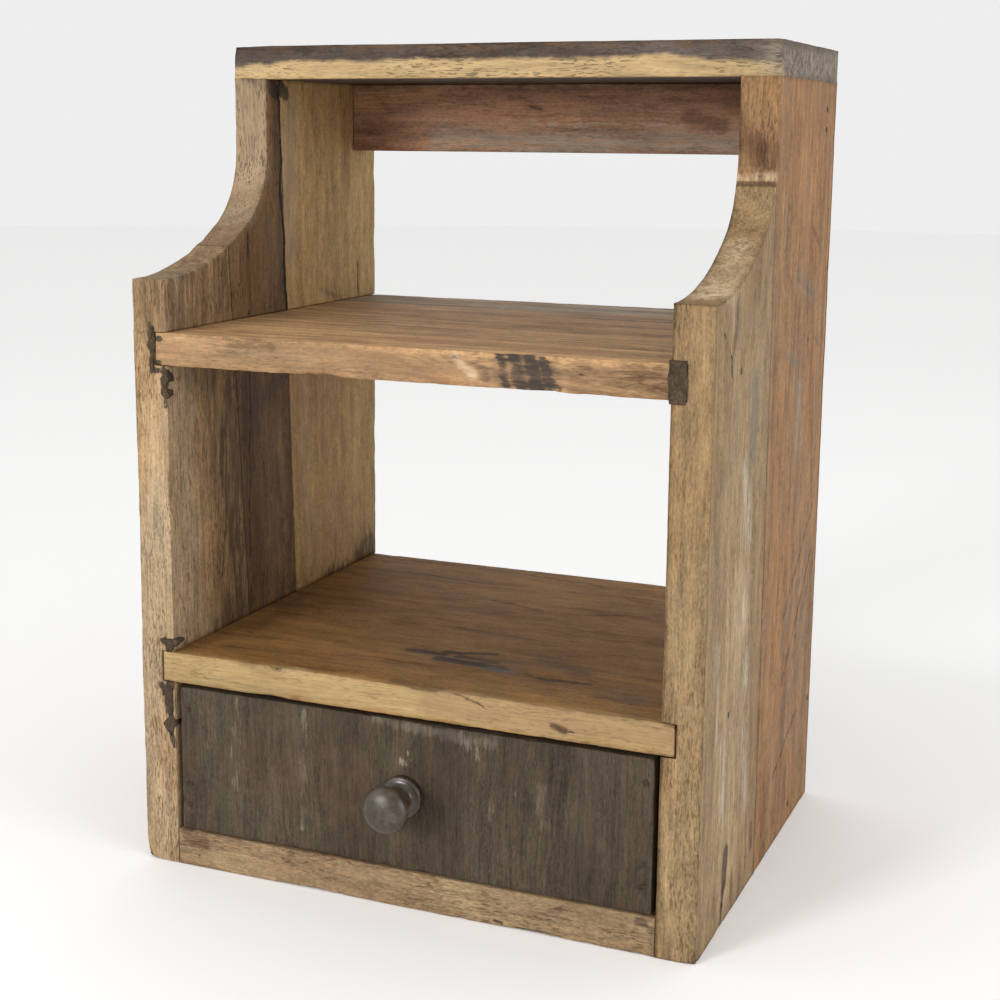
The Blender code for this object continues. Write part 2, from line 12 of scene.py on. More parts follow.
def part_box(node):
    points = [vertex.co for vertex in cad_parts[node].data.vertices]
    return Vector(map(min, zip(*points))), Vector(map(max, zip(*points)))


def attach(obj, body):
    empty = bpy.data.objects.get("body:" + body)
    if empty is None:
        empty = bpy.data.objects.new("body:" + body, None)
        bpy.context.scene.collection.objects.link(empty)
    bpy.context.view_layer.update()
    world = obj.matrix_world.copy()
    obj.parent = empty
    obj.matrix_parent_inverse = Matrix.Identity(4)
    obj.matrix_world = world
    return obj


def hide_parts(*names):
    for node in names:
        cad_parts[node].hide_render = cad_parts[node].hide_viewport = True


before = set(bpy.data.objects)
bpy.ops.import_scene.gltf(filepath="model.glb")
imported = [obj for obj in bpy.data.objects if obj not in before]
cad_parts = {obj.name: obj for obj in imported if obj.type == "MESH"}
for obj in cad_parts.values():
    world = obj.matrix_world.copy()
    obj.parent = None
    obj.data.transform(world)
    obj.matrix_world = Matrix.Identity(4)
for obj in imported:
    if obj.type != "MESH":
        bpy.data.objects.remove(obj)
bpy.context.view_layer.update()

bl_info = {
    "name": "Reclaimed wood cabinet",
    "version": (1, 0, 0),
    "blender": (4, 5, 0),
    "location": "View3D > Sidebar > Cabinet",
    "description": "Worn boards, fillers, knob and finishes of a small reclaimed wood cabinet",
    "category": "Add Mesh",
}

MM = 0.001
AXES = (Vector((1, 0, 0)), Vector((0, 1, 0)), Vector((0, 0, 1)))
SHARP_ANGLE = 1.2
SAME_PLACE = 1e-5
ALONG = 0.99
# How often the unevenness of a mesh repeats in a metre along each axis
WAVE_RATE = (13, 13, 13)
NIBBLE_RATE = (95, 95, 95)
CHIP_RATE = (34, 34, 34)
DENT_RATE = (160, 160, 160)
LOBE_RATE = (0, 0, 140)
DRIFT_RATE = (0, 0, 90)
BITE_RATE = (300, 60, 280)
LIT_POINT = (0.0, 0.0, 0.26)
SENSOR_WIDTH = 36.0
FINE_MESH = 0.8
COARSE_MESH = 1.6

# Kinds of marks: colour, how soft the edge is from 0 to 1, and how far it wanders in millimetres
MARK_KINDS = {
    "crack": ((0.024, 0.015, 0.010), 0.7, 1.2),
    "split": ((0.014, 0.009, 0.006), 0.3, 1.3),
    "check": ((0.060, 0.036, 0.022), 0.7, 0.7),
    # This kind paints dark marks of the wood, and also painted shade on the left side's inner
    # face under the upper shelf and along the rail's top under the top board.
    "stain_and_shade": ((0.085, 0.055, 0.035), 0.85, 6.0),
    "char": ((0.044, 0.032, 0.024), 0.45, 3.4),
    "filler": ((0.044, 0.030, 0.020), 0.35, 4.0),
    "grey": ((0.250, 0.205, 0.155), 0.85, 6.0),
    "bluish": ((0.125, 0.122, 0.108), 0.8, 8.0),
    "white": ((0.450, 0.390, 0.305), 1.0, 10.0),
    "sap": ((0.430, 0.300, 0.146), 0.35, 1.6),
    "golden": ((0.265, 0.155, 0.062), 0.6, 3.0),
    "red": ((0.085, 0.034, 0.014), 0.7, 5.0),
    "orange": ((0.340, 0.175, 0.078), 1.0, 5.0),
    "pale": ((0.600, 0.455, 0.285), 0.8, 2.5),
    "knot": ((0.060, 0.030, 0.018), 0.8, 1.6),
    # This kind also paints shade on the left side's inner face, besides brown marks of the wood.
    "brown": ((0.105, 0.058, 0.027), 0.8, 9.0),
    "tan": ((0.245, 0.146, 0.074), 0.6, 5.0),
    "straw": ((0.355, 0.245, 0.110), 0.4, 1.5),
    "beige": ((0.290, 0.205, 0.122), 0.4, 2.5),
}

# A split down the joint of two planks of the left side, marked on both
LONG_SPLIT = (
    ("split", (-165, -1, 505), (-165, 1, 470), 1.4, 0.95),
    ("split", (-165, 1, 470), (-165, -1, 437), 1.7, 1.0),
    ("split", (-165, -1, 437), (-165, 4, 403), 2.1, 1.0),
    ("split", (-165, 4, 403), (-165, 3, 388), 1.7, 1.0),
    ("split", (-165, 3, 388), (-165, 7, 358), 2.1, 1.0),
)

# Marks of each board: kind, where the streak starts and ends in millimetres, half its width
# in millimetres, and its strength
MARKS = {
    "top_board": (
        ("sap", (-192, -19, 513), (-140, -19, 518), 11.5, 1.0),
        ("sap", (-140, -19, 518), (120, -19, 519), 11.5, 1.0),
        ("sap", (120, -19, 519), (192, -19, 513), 11.5, 1.0),
        ("stain_and_shade", (-40, -19, 533), (-5, -19, 531), 5.0, 0.9),
        ("crack", (-30, -19, 531), (-8, -19, 529), 1.2, 0.8),
        ("check", (-150, -19, 530), (-60, -19, 533), 0.9, 0.6),
        ("check", (-110, -19, 519), (-70, -19, 518), 0.7, 0.5),
        ("check", (20, -19, 522), (48, -19, 522), 0.7, 0.5),
        ("grey", (190, -10, 525), (190, 145, 527), 24.0, 0.85),
        ("stain_and_shade", (190, -14, 536), (190, 145, 537), 5.0, 0.6),
        ("brown", (-192, -19, 537), (150, -19, 537), 4.0, 0.7),
    ),
    "back_rail": (
        ("grey", (-90, 111, 472), (165, 111, 471), 20.0, 0.85),
        ("knot", (-22, 111, 500), (-14, 111, 498), 2.2, 0.8),
        ("red", (95, 111, 492), (120, 111, 486), 8.0, 0.6),
        ("white", (-50, 111, 488), (90, 111, 487), 1.2, 0.35),
        # Dark band along the rail's top: partly a dark joint, partly painted shade cast by the
        # top board.
        ("stain_and_shade", (-165, 111, 512), (165, 111, 512), 4.0, 0.5),
    ),
    "upper_shelf": (
        ("grey", (-150, 118, 355), (165, 108, 355), 56.0, 0.9),
        ("white", (-60, 106, 355), (80, 98, 355), 16.0, 0.8),
        ("white", (0, 134, 355), (140, 128, 355), 14.0, 0.8),
        ("white", (-120, 138, 355), (-30, 134, 355), 4.0, 0.4),
        ("stain_and_shade", (40, 56, 355), (110, 52, 355), 6.0, 0.75),
        ("stain_and_shade", (-110, 94, 355), (-40, 88, 355), 4.0, 0.6),
        ("stain_and_shade", (60, 116, 355), (150, 110, 355), 4.0, 0.6),
        ("check", (-60, 30, 355), (60, 24, 355), 1.0, 0.5),
        ("check", (-20, -30, 355), (100, -36, 355), 0.9, 0.5),
        ("white", (-31, 84, 355), (-41, 120, 355), 0.7, 0.7),
        ("orange", (-60, -110, 355), (120, -118, 355), 22.0, 0.5),
        ("knot", (-104, -149, 352), (-98, -149, 351), 1.6, 0.9),
        ("pale", (-150, -149, 349), (-60, -149, 343), 4.0, 0.45),
        ("tan", (-172, -152, 344), (60, -152, 344), 14.0, 0.85),
        ("tan", (60, -152, 344), (165, -152, 344), 14.0, 0.9),
        ("brown", (110, -150, 341), (165, -150, 343), 16.0, 0.6),
        ("brown", (-120, -150, 351), (-90, -150, 349), 6.0, 0.6),
        ("pale", (33, -150, 353), (44, -150, 341), 5.0, 0.6),
        ("stain_and_shade", (46, -150, 353), (53, -150, 339), 4.5, 0.8),
        ("stain_and_shade", (66, -150, 347), (90, -150, 345), 14.0, 1.0),
        ("stain_and_shade", (72, -150, 352), (86, -150, 340), 11.0, 1.0),
        ("char", (60, -150, 356), (66, -150, 338), 4.4, 0.95),
        ("char", (69, -150, 357), (75, -150, 336), 6.2, 1.0),
        ("char", (79, -150, 357), (84, -150, 336), 6.4, 1.0),
        ("char", (88, -150, 354), (92, -150, 338), 4.6, 0.95),
        ("char", (86, -150, 338), (98, -150, 336), 2.8, 0.9),
        ("stain_and_shade", (28, -150, 353), (60, -150, 346), 4.0, 0.7),
        ("red", (140, -150, 352), (163, -150, 340), 8.0, 0.55),
        ("check", (110, -149, 346), (124, -149, 343), 0.8, 0.8),
        ("check", (128, -149, 347), (142, -149, 348), 0.8, 0.8),
        ("check", (108, -149, 350), (116, -149, 350), 0.7, 0.7),
        ("filler", (-176, -149, 336), (-172, -149, 334), 2.6, 1.0),
        ("filler", (-176, -149, 351), (-171, -149, 350), 2.4, 1.0),
    ),
    "lower_shelf": (
        ("straw", (-170, -152, 137), (170, -152, 137), 13.0, 0.95),
        ("crack", (-116, 106, 146), (-58, 98, 146), 1.8, 0.85),
        ("crack", (-70, 138, 146), (68, 126, 146), 1.7, 0.8),
        ("crack", (-24, 56, 146), (18, 44, 146), 2.0, 0.8),
        ("crack", (34, 42, 146), (74, 56, 146), 1.8, 0.7),
        ("crack", (-20, -20, 146), (38, -25, 146), 1.8, 0.7),
        ("stain_and_shade", (-24, -82, 146), (46, -84, 146), 17.0, 0.6),
        ("char", (-27, -80, 146), (-4, -79, 146), 4.0, 0.95),
        ("char", (-2, -74, 146), (28, -67, 146), 3.8, 0.95),
        ("char", (-2, -88, 146), (42, -92, 146), 6.0, 1.0),
        ("char", (8, -79, 146), (34, -82, 146), 4.0, 0.9),
        ("bluish", (36, -94, 146), (50, -96, 146), 10.0, 0.8),
        ("stain_and_shade", (60, -68, 146), (90, -80, 146), 14.0, 0.7),
        ("char", (72, -101, 146), (104, -98, 146), 3.6, 0.9),
        ("bluish", (122, -112, 146), (140, -116, 146), 14.0, 0.5),
        ("stain_and_shade", (-9, -141, 147), (25, -145, 147), 7.0, 0.7),
        ("stain_and_shade", (-160, 40, 146), (-140, -120, 146), 7.0, 0.35),
        ("orange", (-100, -100, 146), (-20, -118, 146), 18.0, 0.35),
        ("tan", (20, -152, 137), (170, -152, 137), 13.0, 0.6),
        ("crack", (24, -149, 146), (44, -149, 143), 0.9, 0.8),
        ("crack", (44, -149, 143), (63, -149, 136), 0.7, 0.8),
        ("knot", (97, -149, 135), (106, -149, 133), 3.0, 0.95),
        ("crack", (95, -149, 134), (120, -149, 131), 0.4, 0.8),
        ("stain_and_shade", (-92, -149, 146), (-86, -149, 145), 1.8, 0.8),
        ("check", (-150, -149, 133), (-90, -149, 131), 0.5, 0.5),
    ),
    "drawer_bay_back": (
        ("stain_and_shade", (-120, 149, 84), (-60, 149, 88), 12.0, 0.6),
        ("crack", (20, 149, 104), (150, 149, 98), 0.9, 0.85),
        ("grey", (40, 149, 60), (140, 149, 54), 14.0, 0.5),
        ("knot", (-20, 149, 60), (-12, 149, 60), 3.0, 0.9),
    ),
    "bottom_board": (
        ("red", (-160, -149, 22), (-145, -149, 17), 7.0, 0.75),
        ("brown", (20, -149, 25), (26, -149, 12), 3.0, 0.7),
        ("brown", (55, -149, 25), (55, -149, 14), 2.4, 0.6),
        ("brown", (-80, -149, 25), (-82, -149, 15), 2.6, 0.5),
        ("crack", (-165, -149, 11), (-137, -149, 14), 0.35, 0.8),
        ("crack", (126, -149, 10), (164, -149, 10), 0.35, 0.8),
        ("knot", (62, -149, 4), (66, -149, 3), 1.6, 0.9),
        ("stain_and_shade", (103, -149, 19), (105, -149, 19), 2.6, 0.8),
        ("stain_and_shade", (155, -149, 21), (163, -149, 16), 3.6, 0.85),
        ("knot", (151, -149, 10), (151, -149, 10), 1.1, 1.0),
        ("knot", (-149, -149, 8), (-149, -149, 8), 1.1, 1.0),
    ),
    "drawer_front": (
        ("stain_and_shade", (-161, -148, 30), (-161, -148, 118), 4.0, 0.6),
        ("white", (-3, -148, 97), (1, -148, 94), 2.4, 0.4),
        ("white", (2, -148, 102), (3, -148, 99), 2.0, 0.4),
        ("grey", (91, -148, 92), (94, -148, 74), 8.0, 0.22),
        ("grey", (-20, -148, 121), (60, -148, 117), 5.0, 0.3),
        ("white", (42, -148, 118), (50, -148, 106), 3.0, 0.22),
        ("white", (56, -148, 84), (58, -148, 70), 3.6, 0.3),
        ("white", (75, -148, 90), (76, -148, 86), 2.8, 0.3),
        ("white", (-120, -148, 120), (-120, -148, 60), 2.4, 0.2),
        ("white", (-70, -148, 118), (-71, -148, 40), 2.4, 0.2),
        ("brown", (-100, -148, 80), (-40, -148, 76), 40.0, 0.35),
        ("char", (30, -148, 30), (34, -148, 120), 16.0, 0.30),
        ("char", (125, -148, 30), (128, -148, 120), 20.0, 0.25),
    ),
    "left_side_front_plank": (
        ("filler", (-177, -149, 360), (-177, -149, 331), 2.4, 1.0),
        ("filler", (-176, -149, 332), (-166, -149, 330), 2.2, 1.0),
        ("filler", (-167, -149, 331), (-166, -149, 309), 1.8, 0.9),
        ("filler", (-173, -149, 152), (-164, -149, 149), 2.4, 1.0),
        ("filler", (-174, -149, 123), (-169, -149, 104), 3.2, 1.0),
        ("filler", (-169, -149, 104), (-166, -149, 82), 2.4, 0.95),
        ("knot", (-178, -149, 154), (-178, -149, 154), 1.0, 0.9),
        ("stain_and_shade", (-180, -149, 137), (-177, -149, 136), 1.6, 0.8),
        # The four brown patches on the inner face below are partly the wood's own colour and
        # partly painted shade of the bays, darkest under the upper shelf.
        ("brown", (-165, -84, 310), (-165, -70, 150), 34.0, 0.95),
        ("brown", (-165, -62, 320), (-165, -60, 150), 22.0, 0.7),
        ("brown", (-165, -140, 372), (-165, -50, 384), 55.0, 0.75),
        ("brown", (-165, -120, 330), (-165, -60, 322), 24.0, 0.6),
        ("knot", (-165, -83, 281), (-165, -81, 267), 5.0, 0.8),
        ("check", (-165, -125, 290), (-165, -122, 160), 0.5, 0.5),
        ("check", (-165, -100, 250), (-165, -98, 150), 0.5, 0.5),
        ("stain_and_shade", (-165, -95, 150), (-165, -50, 147), 12.0, 0.7),
        ("check", (-165, -95, 392), (-165, -90, 358), 0.6, 0.6),
        ("white", (-190, -120, 330), (-190, -116, 250), 9.0, 0.6),
        ("grey", (-190, -105, 180), (-190, -112, 90), 14.0, 0.6),
        ("stain_and_shade", (-190, -130, 50), (-190, -100, 8), 12.0, 0.6),
        ("crack", (-190, -96, 140), (-190, -92, 2), 1.2, 0.85),
    ),
    "left_side_middle_plank": (
        ("filler", (-165, -20, 513), (-165, 0, 506), 6.5, 1.0),
        ("filler", (-165, -2, 508), (-165, 4, 494), 3.2, 1.0),
        ("beige", (-178, -21, 514), (-178, -21, 452), 17.0, 0.95),
        ("beige", (-178, -24, 452), (-178, -40, 428), 17.0, 0.85),
        ("beige", (-178, -40, 428), (-178, -70, 402), 16.0, 0.5),
        ("stain_and_shade", (-180, -19, 515), (-168, -19, 511), 5.0, 0.8),
        ("knot", (-184, -19, 514), (-184, -19, 511), 1.0, 0.9),
        # These three darken the inner face under the upper shelf: partly the wood's own marks,
        # partly painted shade cast by the shelf.
        ("stain_and_shade", (-165, -50, 316), (-165, -50, 285), 24.0, 0.8),
        ("stain_and_shade", (-165, 2, 316), (-165, -42, 288), 13.0, 0.7),
        ("brown", (-165, -45, 290), (-165, -40, 150), 22.0, 0.7),
        ("split", (-165, -46, 430), (-165, -46, 358), 1.2, 0.85),
        ("split", (-165, -46, 332), (-165, -51, 150), 1.0, 0.8),
        ("stain_and_shade", (-165, -20, 420), (-165, -10, 360), 9.0, 0.5),
        ("stain_and_shade", (-165, -6, 500), (-165, 0, 358), 9.0, 0.6),
        *LONG_SPLIT,
        ("stain_and_shade", (-165, -10, 250), (-165, -4, 150), 6.0, 0.5),
        ("check", (-165, -25, 300), (-165, -28, 160), 0.5, 0.6),
        ("bluish", (-190, -30, 420), (-190, -34, 340), 12.0, 0.5),
        ("crack", (-190, -50, 260), (-190, -46, 90), 1.0, 0.8),
    ),
    "left_side_rear_plank": (
        ("filler", (-165, 0, 511), (-165, 8, 506), 7.0, 1.0),
        ("grey", (-165, 12, 495), (-165, 14, 400), 18.0, 0.6),
        *LONG_SPLIT,
        ("crack", (-165, 118, 384), (-165, 120, 357), 1.6, 0.9),
        # These two darken the inner face along the lower shelf: partly the wood's own colour,
        # partly painted shade in the corner.
        ("brown", (-165, 120, 152), (-165, 145, 156), 18.0, 0.9),
        ("brown", (-165, 60, 146), (-165, 145, 146), 9.0, 0.8),
        ("stain_and_shade", (-165, 60, 366), (-165, 90, 358), 4.0, 0.5),
        ("check", (-165, 60, 330), (-165, 63, 180), 0.6, 0.5),
        ("check", (-165, 95, 300), (-165, 98, 150), 0.6, 0.4),
        ("stain_and_shade", (-165, 136, 160), (-165, 140, 148), 8.0, 0.8),
        ("pale", (-165, 30, 300), (-165, 34, 160), 9.0, 0.35),
        ("grey", (-190, 120, 480), (-190, 108, 330), 16.0, 0.6),
        ("brown", (-190, 40, 300), (-190, 60, 150), 24.0, 0.5),
        ("crack", (-190, 86, 250), (-190, 92, 30), 1.1, 0.85),
        ("crack", (-190, 20, 514), (-190, 24, 420), 0.9, 0.8),
        ("stain_and_shade", (-190, 135, 60), (-190, 70, 6), 14.0, 0.6),
        ("white", (-190, 36, 420), (-190, 44, 340), 7.0, 0.5),
    ),
    "right_side_front_plank": (
        ("pale", (190, -80, 350), (190, -80, 200), 55.0, 0.12),
        ("pale", (190, -80, 190), (190, -80, 40), 55.0, 0.25),
        ("stain_and_shade", (190, -103, 380), (190, -106, 364), 8.0, 0.75),
        ("white", (190, -112, 392), (190, -110, 374), 6.0, 0.75),
        ("white", (190, -72, 285), (190, -56, 240), 12.0, 0.8),
        ("white", (190, -66, 215), (190, -51, 146), 11.0, 0.7),
        ("white", (190, -48, 114), (190, -38, 62), 11.0, 0.65),
        ("white", (190, -104, 120), (190, -96, 74), 13.0, 0.6),
        ("white", (190, -122, 186), (190, -117, 130), 7.0, 0.5),
        ("crack", (190, -130, 372), (190, -113, 358), 1.8, 0.85),
        ("crack", (190, -112, 357), (190, -111, 346), 2.4, 0.9),
        ("bluish", (190, -57, 330), (190, -54, 296), 18.0, 0.6),
        ("knot", (190, -135, 137), (190, -135, 135), 0.9, 0.8),
        ("knot", (190, -21, 38), (190, -20, 24), 5.5, 1.0),
        ("filler", (190, -84, 45), (190, -86, 24), 7.0, 0.9),
        ("filler", (190, -86, 24), (190, -91, 4), 3.5, 0.9),
        ("stain_and_shade", (190, -69, 21), (190, -67, 4), 6.0, 0.8),
        ("check", (190, -92, 250), (190, -88, 180), 0.5, 0.5),
        ("check", (190, -30, 200), (190, -28, 120), 0.5, 0.5),
        ("crack", (164, -150, 373), (176, -150, 373), 0.4, 0.7),
        ("crack", (165, -149, 389), (189, -149, 389), 0.5, 0.5),
        ("pale", (177, -118, 396), (177, -60, 425), 22.0, 1.0),
        ("knot", (184, -100, 398), (185, -98, 399), 1.6, 0.9),
    ),
    "right_side_rear_plank": (
        ("golden", (177, -31, 504), (177, -31, 500), 21.0, 0.95),
        ("red", (168, -24, 478), (186, -24, 466), 15.0, 0.85),
        ("pale", (177, -50, 432), (177, -88, 410), 22.0, 0.8),
        ("char", (181, -21, 489), (190, -21, 475), 2.2, 0.6),
        ("pale", (166, -20, 454), (190, -20, 456), 4.6, 0.6),
        ("crack", (189.5, -19, 514), (189.5, -19, 487), 0.8, 0.95),
        ("bluish", (190, 53, 389), (190, 104, 374), 9.0, 0.65),
        ("bluish", (190, 21, 343), (190, 66, 330), 5.0, 0.5),
        ("grey", (190, 69, 314), (190, 76, 274), 17.0, 0.6),
        ("bluish", (190, 100, 262), (190, 70, 236), 7.0, 0.4),
        ("bluish", (190, 50, 88), (190, 127, 168), 5.0, 0.8),
        ("bluish", (190, 46, 142), (190, 128, 196), 4.5, 0.75),
        ("char", (190, 52, 112), (190, 130, 190), 2.2, 0.75),
        ("char", (190, 50, 160), (190, 128, 222), 2.0, 0.7),
        ("bluish", (190, 60, 70), (190, 132, 140), 6.0, 0.7),
        ("char", (190, 36, 50), (190, 104, 78), 2.0, 0.7),
        ("crack", (190, -8, 80), (190, -14, 240), 1.0, 0.8),
        ("orange", (190, 10, 120), (190, 30, 30), 26.0, 0.5),
        ("orange", (190, 10, 290), (190, 14, 210), 16.0, 0.4),
        ("stain_and_shade", (190, 90, 420), (190, 116, 405), 3.0, 0.6),
        ("stain_and_shade", (190, 110, 344), (190, 130, 336), 3.0, 0.6),
        ("white", (190, 40, 506), (190, 46, 494), 4.0, 0.3),
    ),
}

# Dents of each board: middle and half sizes in millimetres, and depth in millimetres
DENTS = {
    "top_board": (
        ((-190, -18.5, 538), (16, 8, 5), 1.6),
        ((190, -18.5, 515), (3, 14, 4), 1.2),
        ((190, 40, 515), (4, 9, 3), 1.0),
        ((-60, -18.5, 538), (40, 5, 4), 0.7),
    ),
    "upper_shelf": (
        ((-58, -149, 333.5), (17, 6, 3.5), 1.6),
        ((62, -149, 346), (5, 4, 9), 1.3),
        ((72, -149, 346), (4, 4, 9), 1.5),
        ((82, -149, 344), (4, 4, 8), 1.3),
        ((92, -149, 336), (7, 5, 4), 1.8),
        ((-100, -149, 355.5), (22, 5, 3), 0.8),
    ),
    "lower_shelf": (
        ((-90, -149, 146.3), (4, 4, 3), 1.5),
        ((10, -149, 146.3), (22, 7, 4), 1.2),
        ((172, -149, 146.3), (5, 5, 4), 1.8),
        ((0, -80, 146.3), (26, 4, 4), 0.9),
        ((22, -90, 146.3), (22, 4, 4), 1.1),
        ((85, -100, 146.3), (17, 3, 3), 0.8),
        ((100, -149, 146.3), (30, 5, 3), 0.7),
    ),
    "bottom_board": (
        ((-60, -149, 0), (26, 6, 4), 1.0),
        ((90, -149, 0), (20, 6, 4), 1.2),
        ((151, -149, 10), (1.8, 2, 1.8), 1.5),
    ),
    "drawer_front": (
        ((162, -148, 123), (4, 5, 4), 1.6),
        ((60, -148, 123), (26, 5, 3), 0.6),
        ((-70, -148, 25.5), (30, 5, 3), 0.6),
    ),
    "left_side_front_plank": (
        ((-190, -149, 0), (6, 6, 9), 3.0),
        ((-177, -149, 345), (3, 4, 15), 0.7),
        ((-166, -149, 320), (3, 4, 14), 0.9),
        ((-170, -149, 151), (6, 4, 4), 0.8),
        ((-170, -149, 104), (5, 4, 20), 0.8),
        ((-178, -149, 137), (3, 3, 2), 1.0),
        ((-190, -149, 250), (3, 3, 60), 0.8),
    ),
    "left_side_middle_plank": (
        ((-165, -12, 508), (4, 10, 8), 0.8),
        ((-184, -18.5, 514), (3, 3, 4), 1.2),
    ),
    "right_side_front_plank": (
        ((190, -149, 0), (5, 5, 8), 2.4),
        ((190, -112, 356), (3, 3, 9), 1.0),
        ((190, -21, 31), (3, 4, 8), 1.4),
        ((190, -87, 26), (3, 6, 24), 0.9),
        ((165, -149, 200), (3, 3, 60), 0.8),
    ),
    "right_side_rear_plank": (
        ((190, -18.5, 500), (3, 3, 14), 1.3),
        ((190, 149, 300), (3, 4, 90), 0.8),
        ((190, 149, 388), (3, 4, 10), 1.4),
    ),
}

# Grain of each board: axis along it, and the strength of its figure, fibre, pores and grime
GRAIN = {
    "top_board": ("X", 0.35, 0.55, 0.7, 0.9),
    "back_rail": ("X", 0.60, 0.60, 0.3, 0.6),
    "upper_shelf": ("X", 1.00, 0.36, 0.4, 0.6),
    "lower_shelf": ("X", 0.45, 0.30, 0.3, 0.8),
    "bottom_board": ("X", 0.30, 0.45, 0.8, 0.5),
    "drawer_bay_back": ("X", 0.40, 0.50, 0.5, 0.4),
    "left_side_front_plank": ("Z", 0.35, 0.50, 0.9, 0.5),
    "left_side_middle_plank": ("Z", 0.35, 0.55, 0.9, 0.9),
    "left_side_rear_plank": ("Z", 0.50, 0.35, 0.35, 0.5),
    "right_side_front_plank": ("Z", 0.45, 0.50, 0.7, 0.5),
    "right_side_rear_plank": ("Z", 0.45, 0.55, 0.7, 0.6),
    "drawer_front": ("Z", 0.15, 0.70, 0.4, 0.5),
    "drawer_left_wall": ("Y", 0.40, 0.50, 0.5, 0.3),
    "drawer_right_wall": ("Y", 0.40, 0.50, 0.5, 0.3),
    "drawer_back": ("X", 0.40, 0.50, 0.5, 0.3),
    "drawer_panel": ("X", 0.30, 0.45, 0.3, 0.3),
}
# Faces that meet another board: axis, and 0 for its low or 1 for its high side
RESTING_FACES = {
    "top_board": ((2, 0),),
    "back_rail": ((2, 1), (0, 0), (0, 1)),
    "bottom_board": ((0, 0), (0, 1)),
    "left_side_front_plank": ((2, 1),),
    "left_side_middle_plank": ((2, 1),),
    "left_side_rear_plank": ((2, 1),),
    "right_side_rear_plank": ((2, 1),),
}
# Noise in the wood: how often it repeats in a metre along and across the grain, its detail and
# its roughness
WOOD_LAYERS = {
    "fibre": ((30.0, 620.0, 620.0), 4.0, 0.70),
    "streaks": ((10.0, 170.0, 170.0), 3.0, 0.6),
    "mottle": ((45.0, 110.0, 110.0), 4.0, 0.65),
    "fleck": ((380.0, 900.0, 900.0), 2.0, 0.6),
    "pores": ((170.0, 1100.0, 1100.0), 1.5, 0.5),
    "crowd": ((16.0, 50.0, 50.0), 2.0, 0.5),
    "patch": ((5.0, 19.0, 19.0), 4.0, 0.6),
    "grime": ((9.0, 50.0, 50.0), 6.0, 0.75),
}
PORE_TINT = (0.46, 0.37, 0.29)
GRIME_TINT = (0.50, 0.40, 0.32)
RUBBED_TINT = (0.50, 0.44, 0.38)
SEAM_TINT = (0.22, 0.18, 0.15)
NAIL_MARK_WIDTH = 2.8
MARK_BEND = 0.009
GRAIN_SHIFT = 0.37
ENGRAVED_MARKS = ("crack", "split", "char", "check", "knot")
GRAIN_TURNS = {"X": (0, 0, 0), "Y": (0, 0, -math.pi / 2), "Z": (0, math.pi / 2, 0)}


# ---------------------------------------------------------------- settings


def size(name, description, default):
    """A length that a user may change."""
    return FloatProperty(name=name, description=description, default=default, min=0.0,
                         precision=5, unit="LENGTH", subtype="DISTANCE")


def tone(name, description, default):
    """A colour that a user may change."""
    return FloatVectorProperty(name=name, description=description, default=default, size=3,
                               min=0.0, max=1.0, subtype="COLOR")


class CabinetSizes(bpy.types.PropertyGroup):
    """Wear of the boards, the sides' cove and the knob's outline."""

    mesh_spacing: size("Mesh spacing", "Distance between a board's mesh lines", 0.003)
    eased_edge: size("Eased edge", "Width of a board's rounded edges", 0.0008)
    joint_edge: size("Joint edge", "Width of the rounding at a plank joint", 0.0004)
    wave: size("Wave", "Depth of the unevenness of a board's faces", 0.00035)
    chipping: size("Chipping", "Depth of the wear along a board's edges", 0.0009)
    edge_reach: size("Edge reach", "How far the wear of an edge reaches into a face", 0.0022)
    nail_dimple: size("Nail dimple", "How far the wood is pressed in round a nail", 0.0006)
    nail_reach: size("Nail reach", "Radius of the dimple round a nail", 0.0042)
    rest_margin: size("Rest margin", "Width of full contact at a resting face", 0.0004)
    rest_reach: size("Rest reach", "Distance over which wear fades to a resting face", 0.004)
    seam_margin: size("Seam margin", "Width without wear at a plank joint", 0.0006)
    seam_reach: size("Seam reach", "Distance over which wear fades to a plank joint", 0.006)
    filler_spacing: size("Filler spacing", "Distance between a filler's mesh lines", 0.0012)
    filler_rise: size("Filler rise", "How far the filler stands proud", 0.0005)
    seam_gap: size("Seam gap", "Gap between two planks of a side", 0.00005)
    joint_gap: size("Joint gap", "Gap between a shelf and its housing", 0.0003)
    housing_depth: size("Housing depth", "Depth of the shelves' housings", 0.009)
    step_height: size("Step height", "Height of the step at the foot of the cove", 0.389)
    cove_sweep: size("Cove sweep", "Radius of the cove's wide arc", 0.190)
    cove_corner: size("Cove corner", "Radius of the arc up to the upper section", 0.057)
    knob_foot_radius: size("Foot radius", "Radius of the knob's foot disc", 0.0135)
    knob_foot_depth: size("Foot depth", "Thickness of the knob's foot disc", 0.0045)
    knob_waist_radius: size("Waist radius", "Radius of the knob's waist", 0.0078)
    knob_head_start: size("Head start", "Distance of the head's underside from the face", 0.0195)
    knob_head_rim: size("Head rim", "Distance of the head's widest circle from the face", 0.0255)
    knob_steps: IntProperty(name="Knob steps", description="Steps round the knob",
                            default=64, min=12)
    cove_steps: IntProperty(name="Cove steps", description="Steps of each arc of the cove",
                            default=18, min=4)


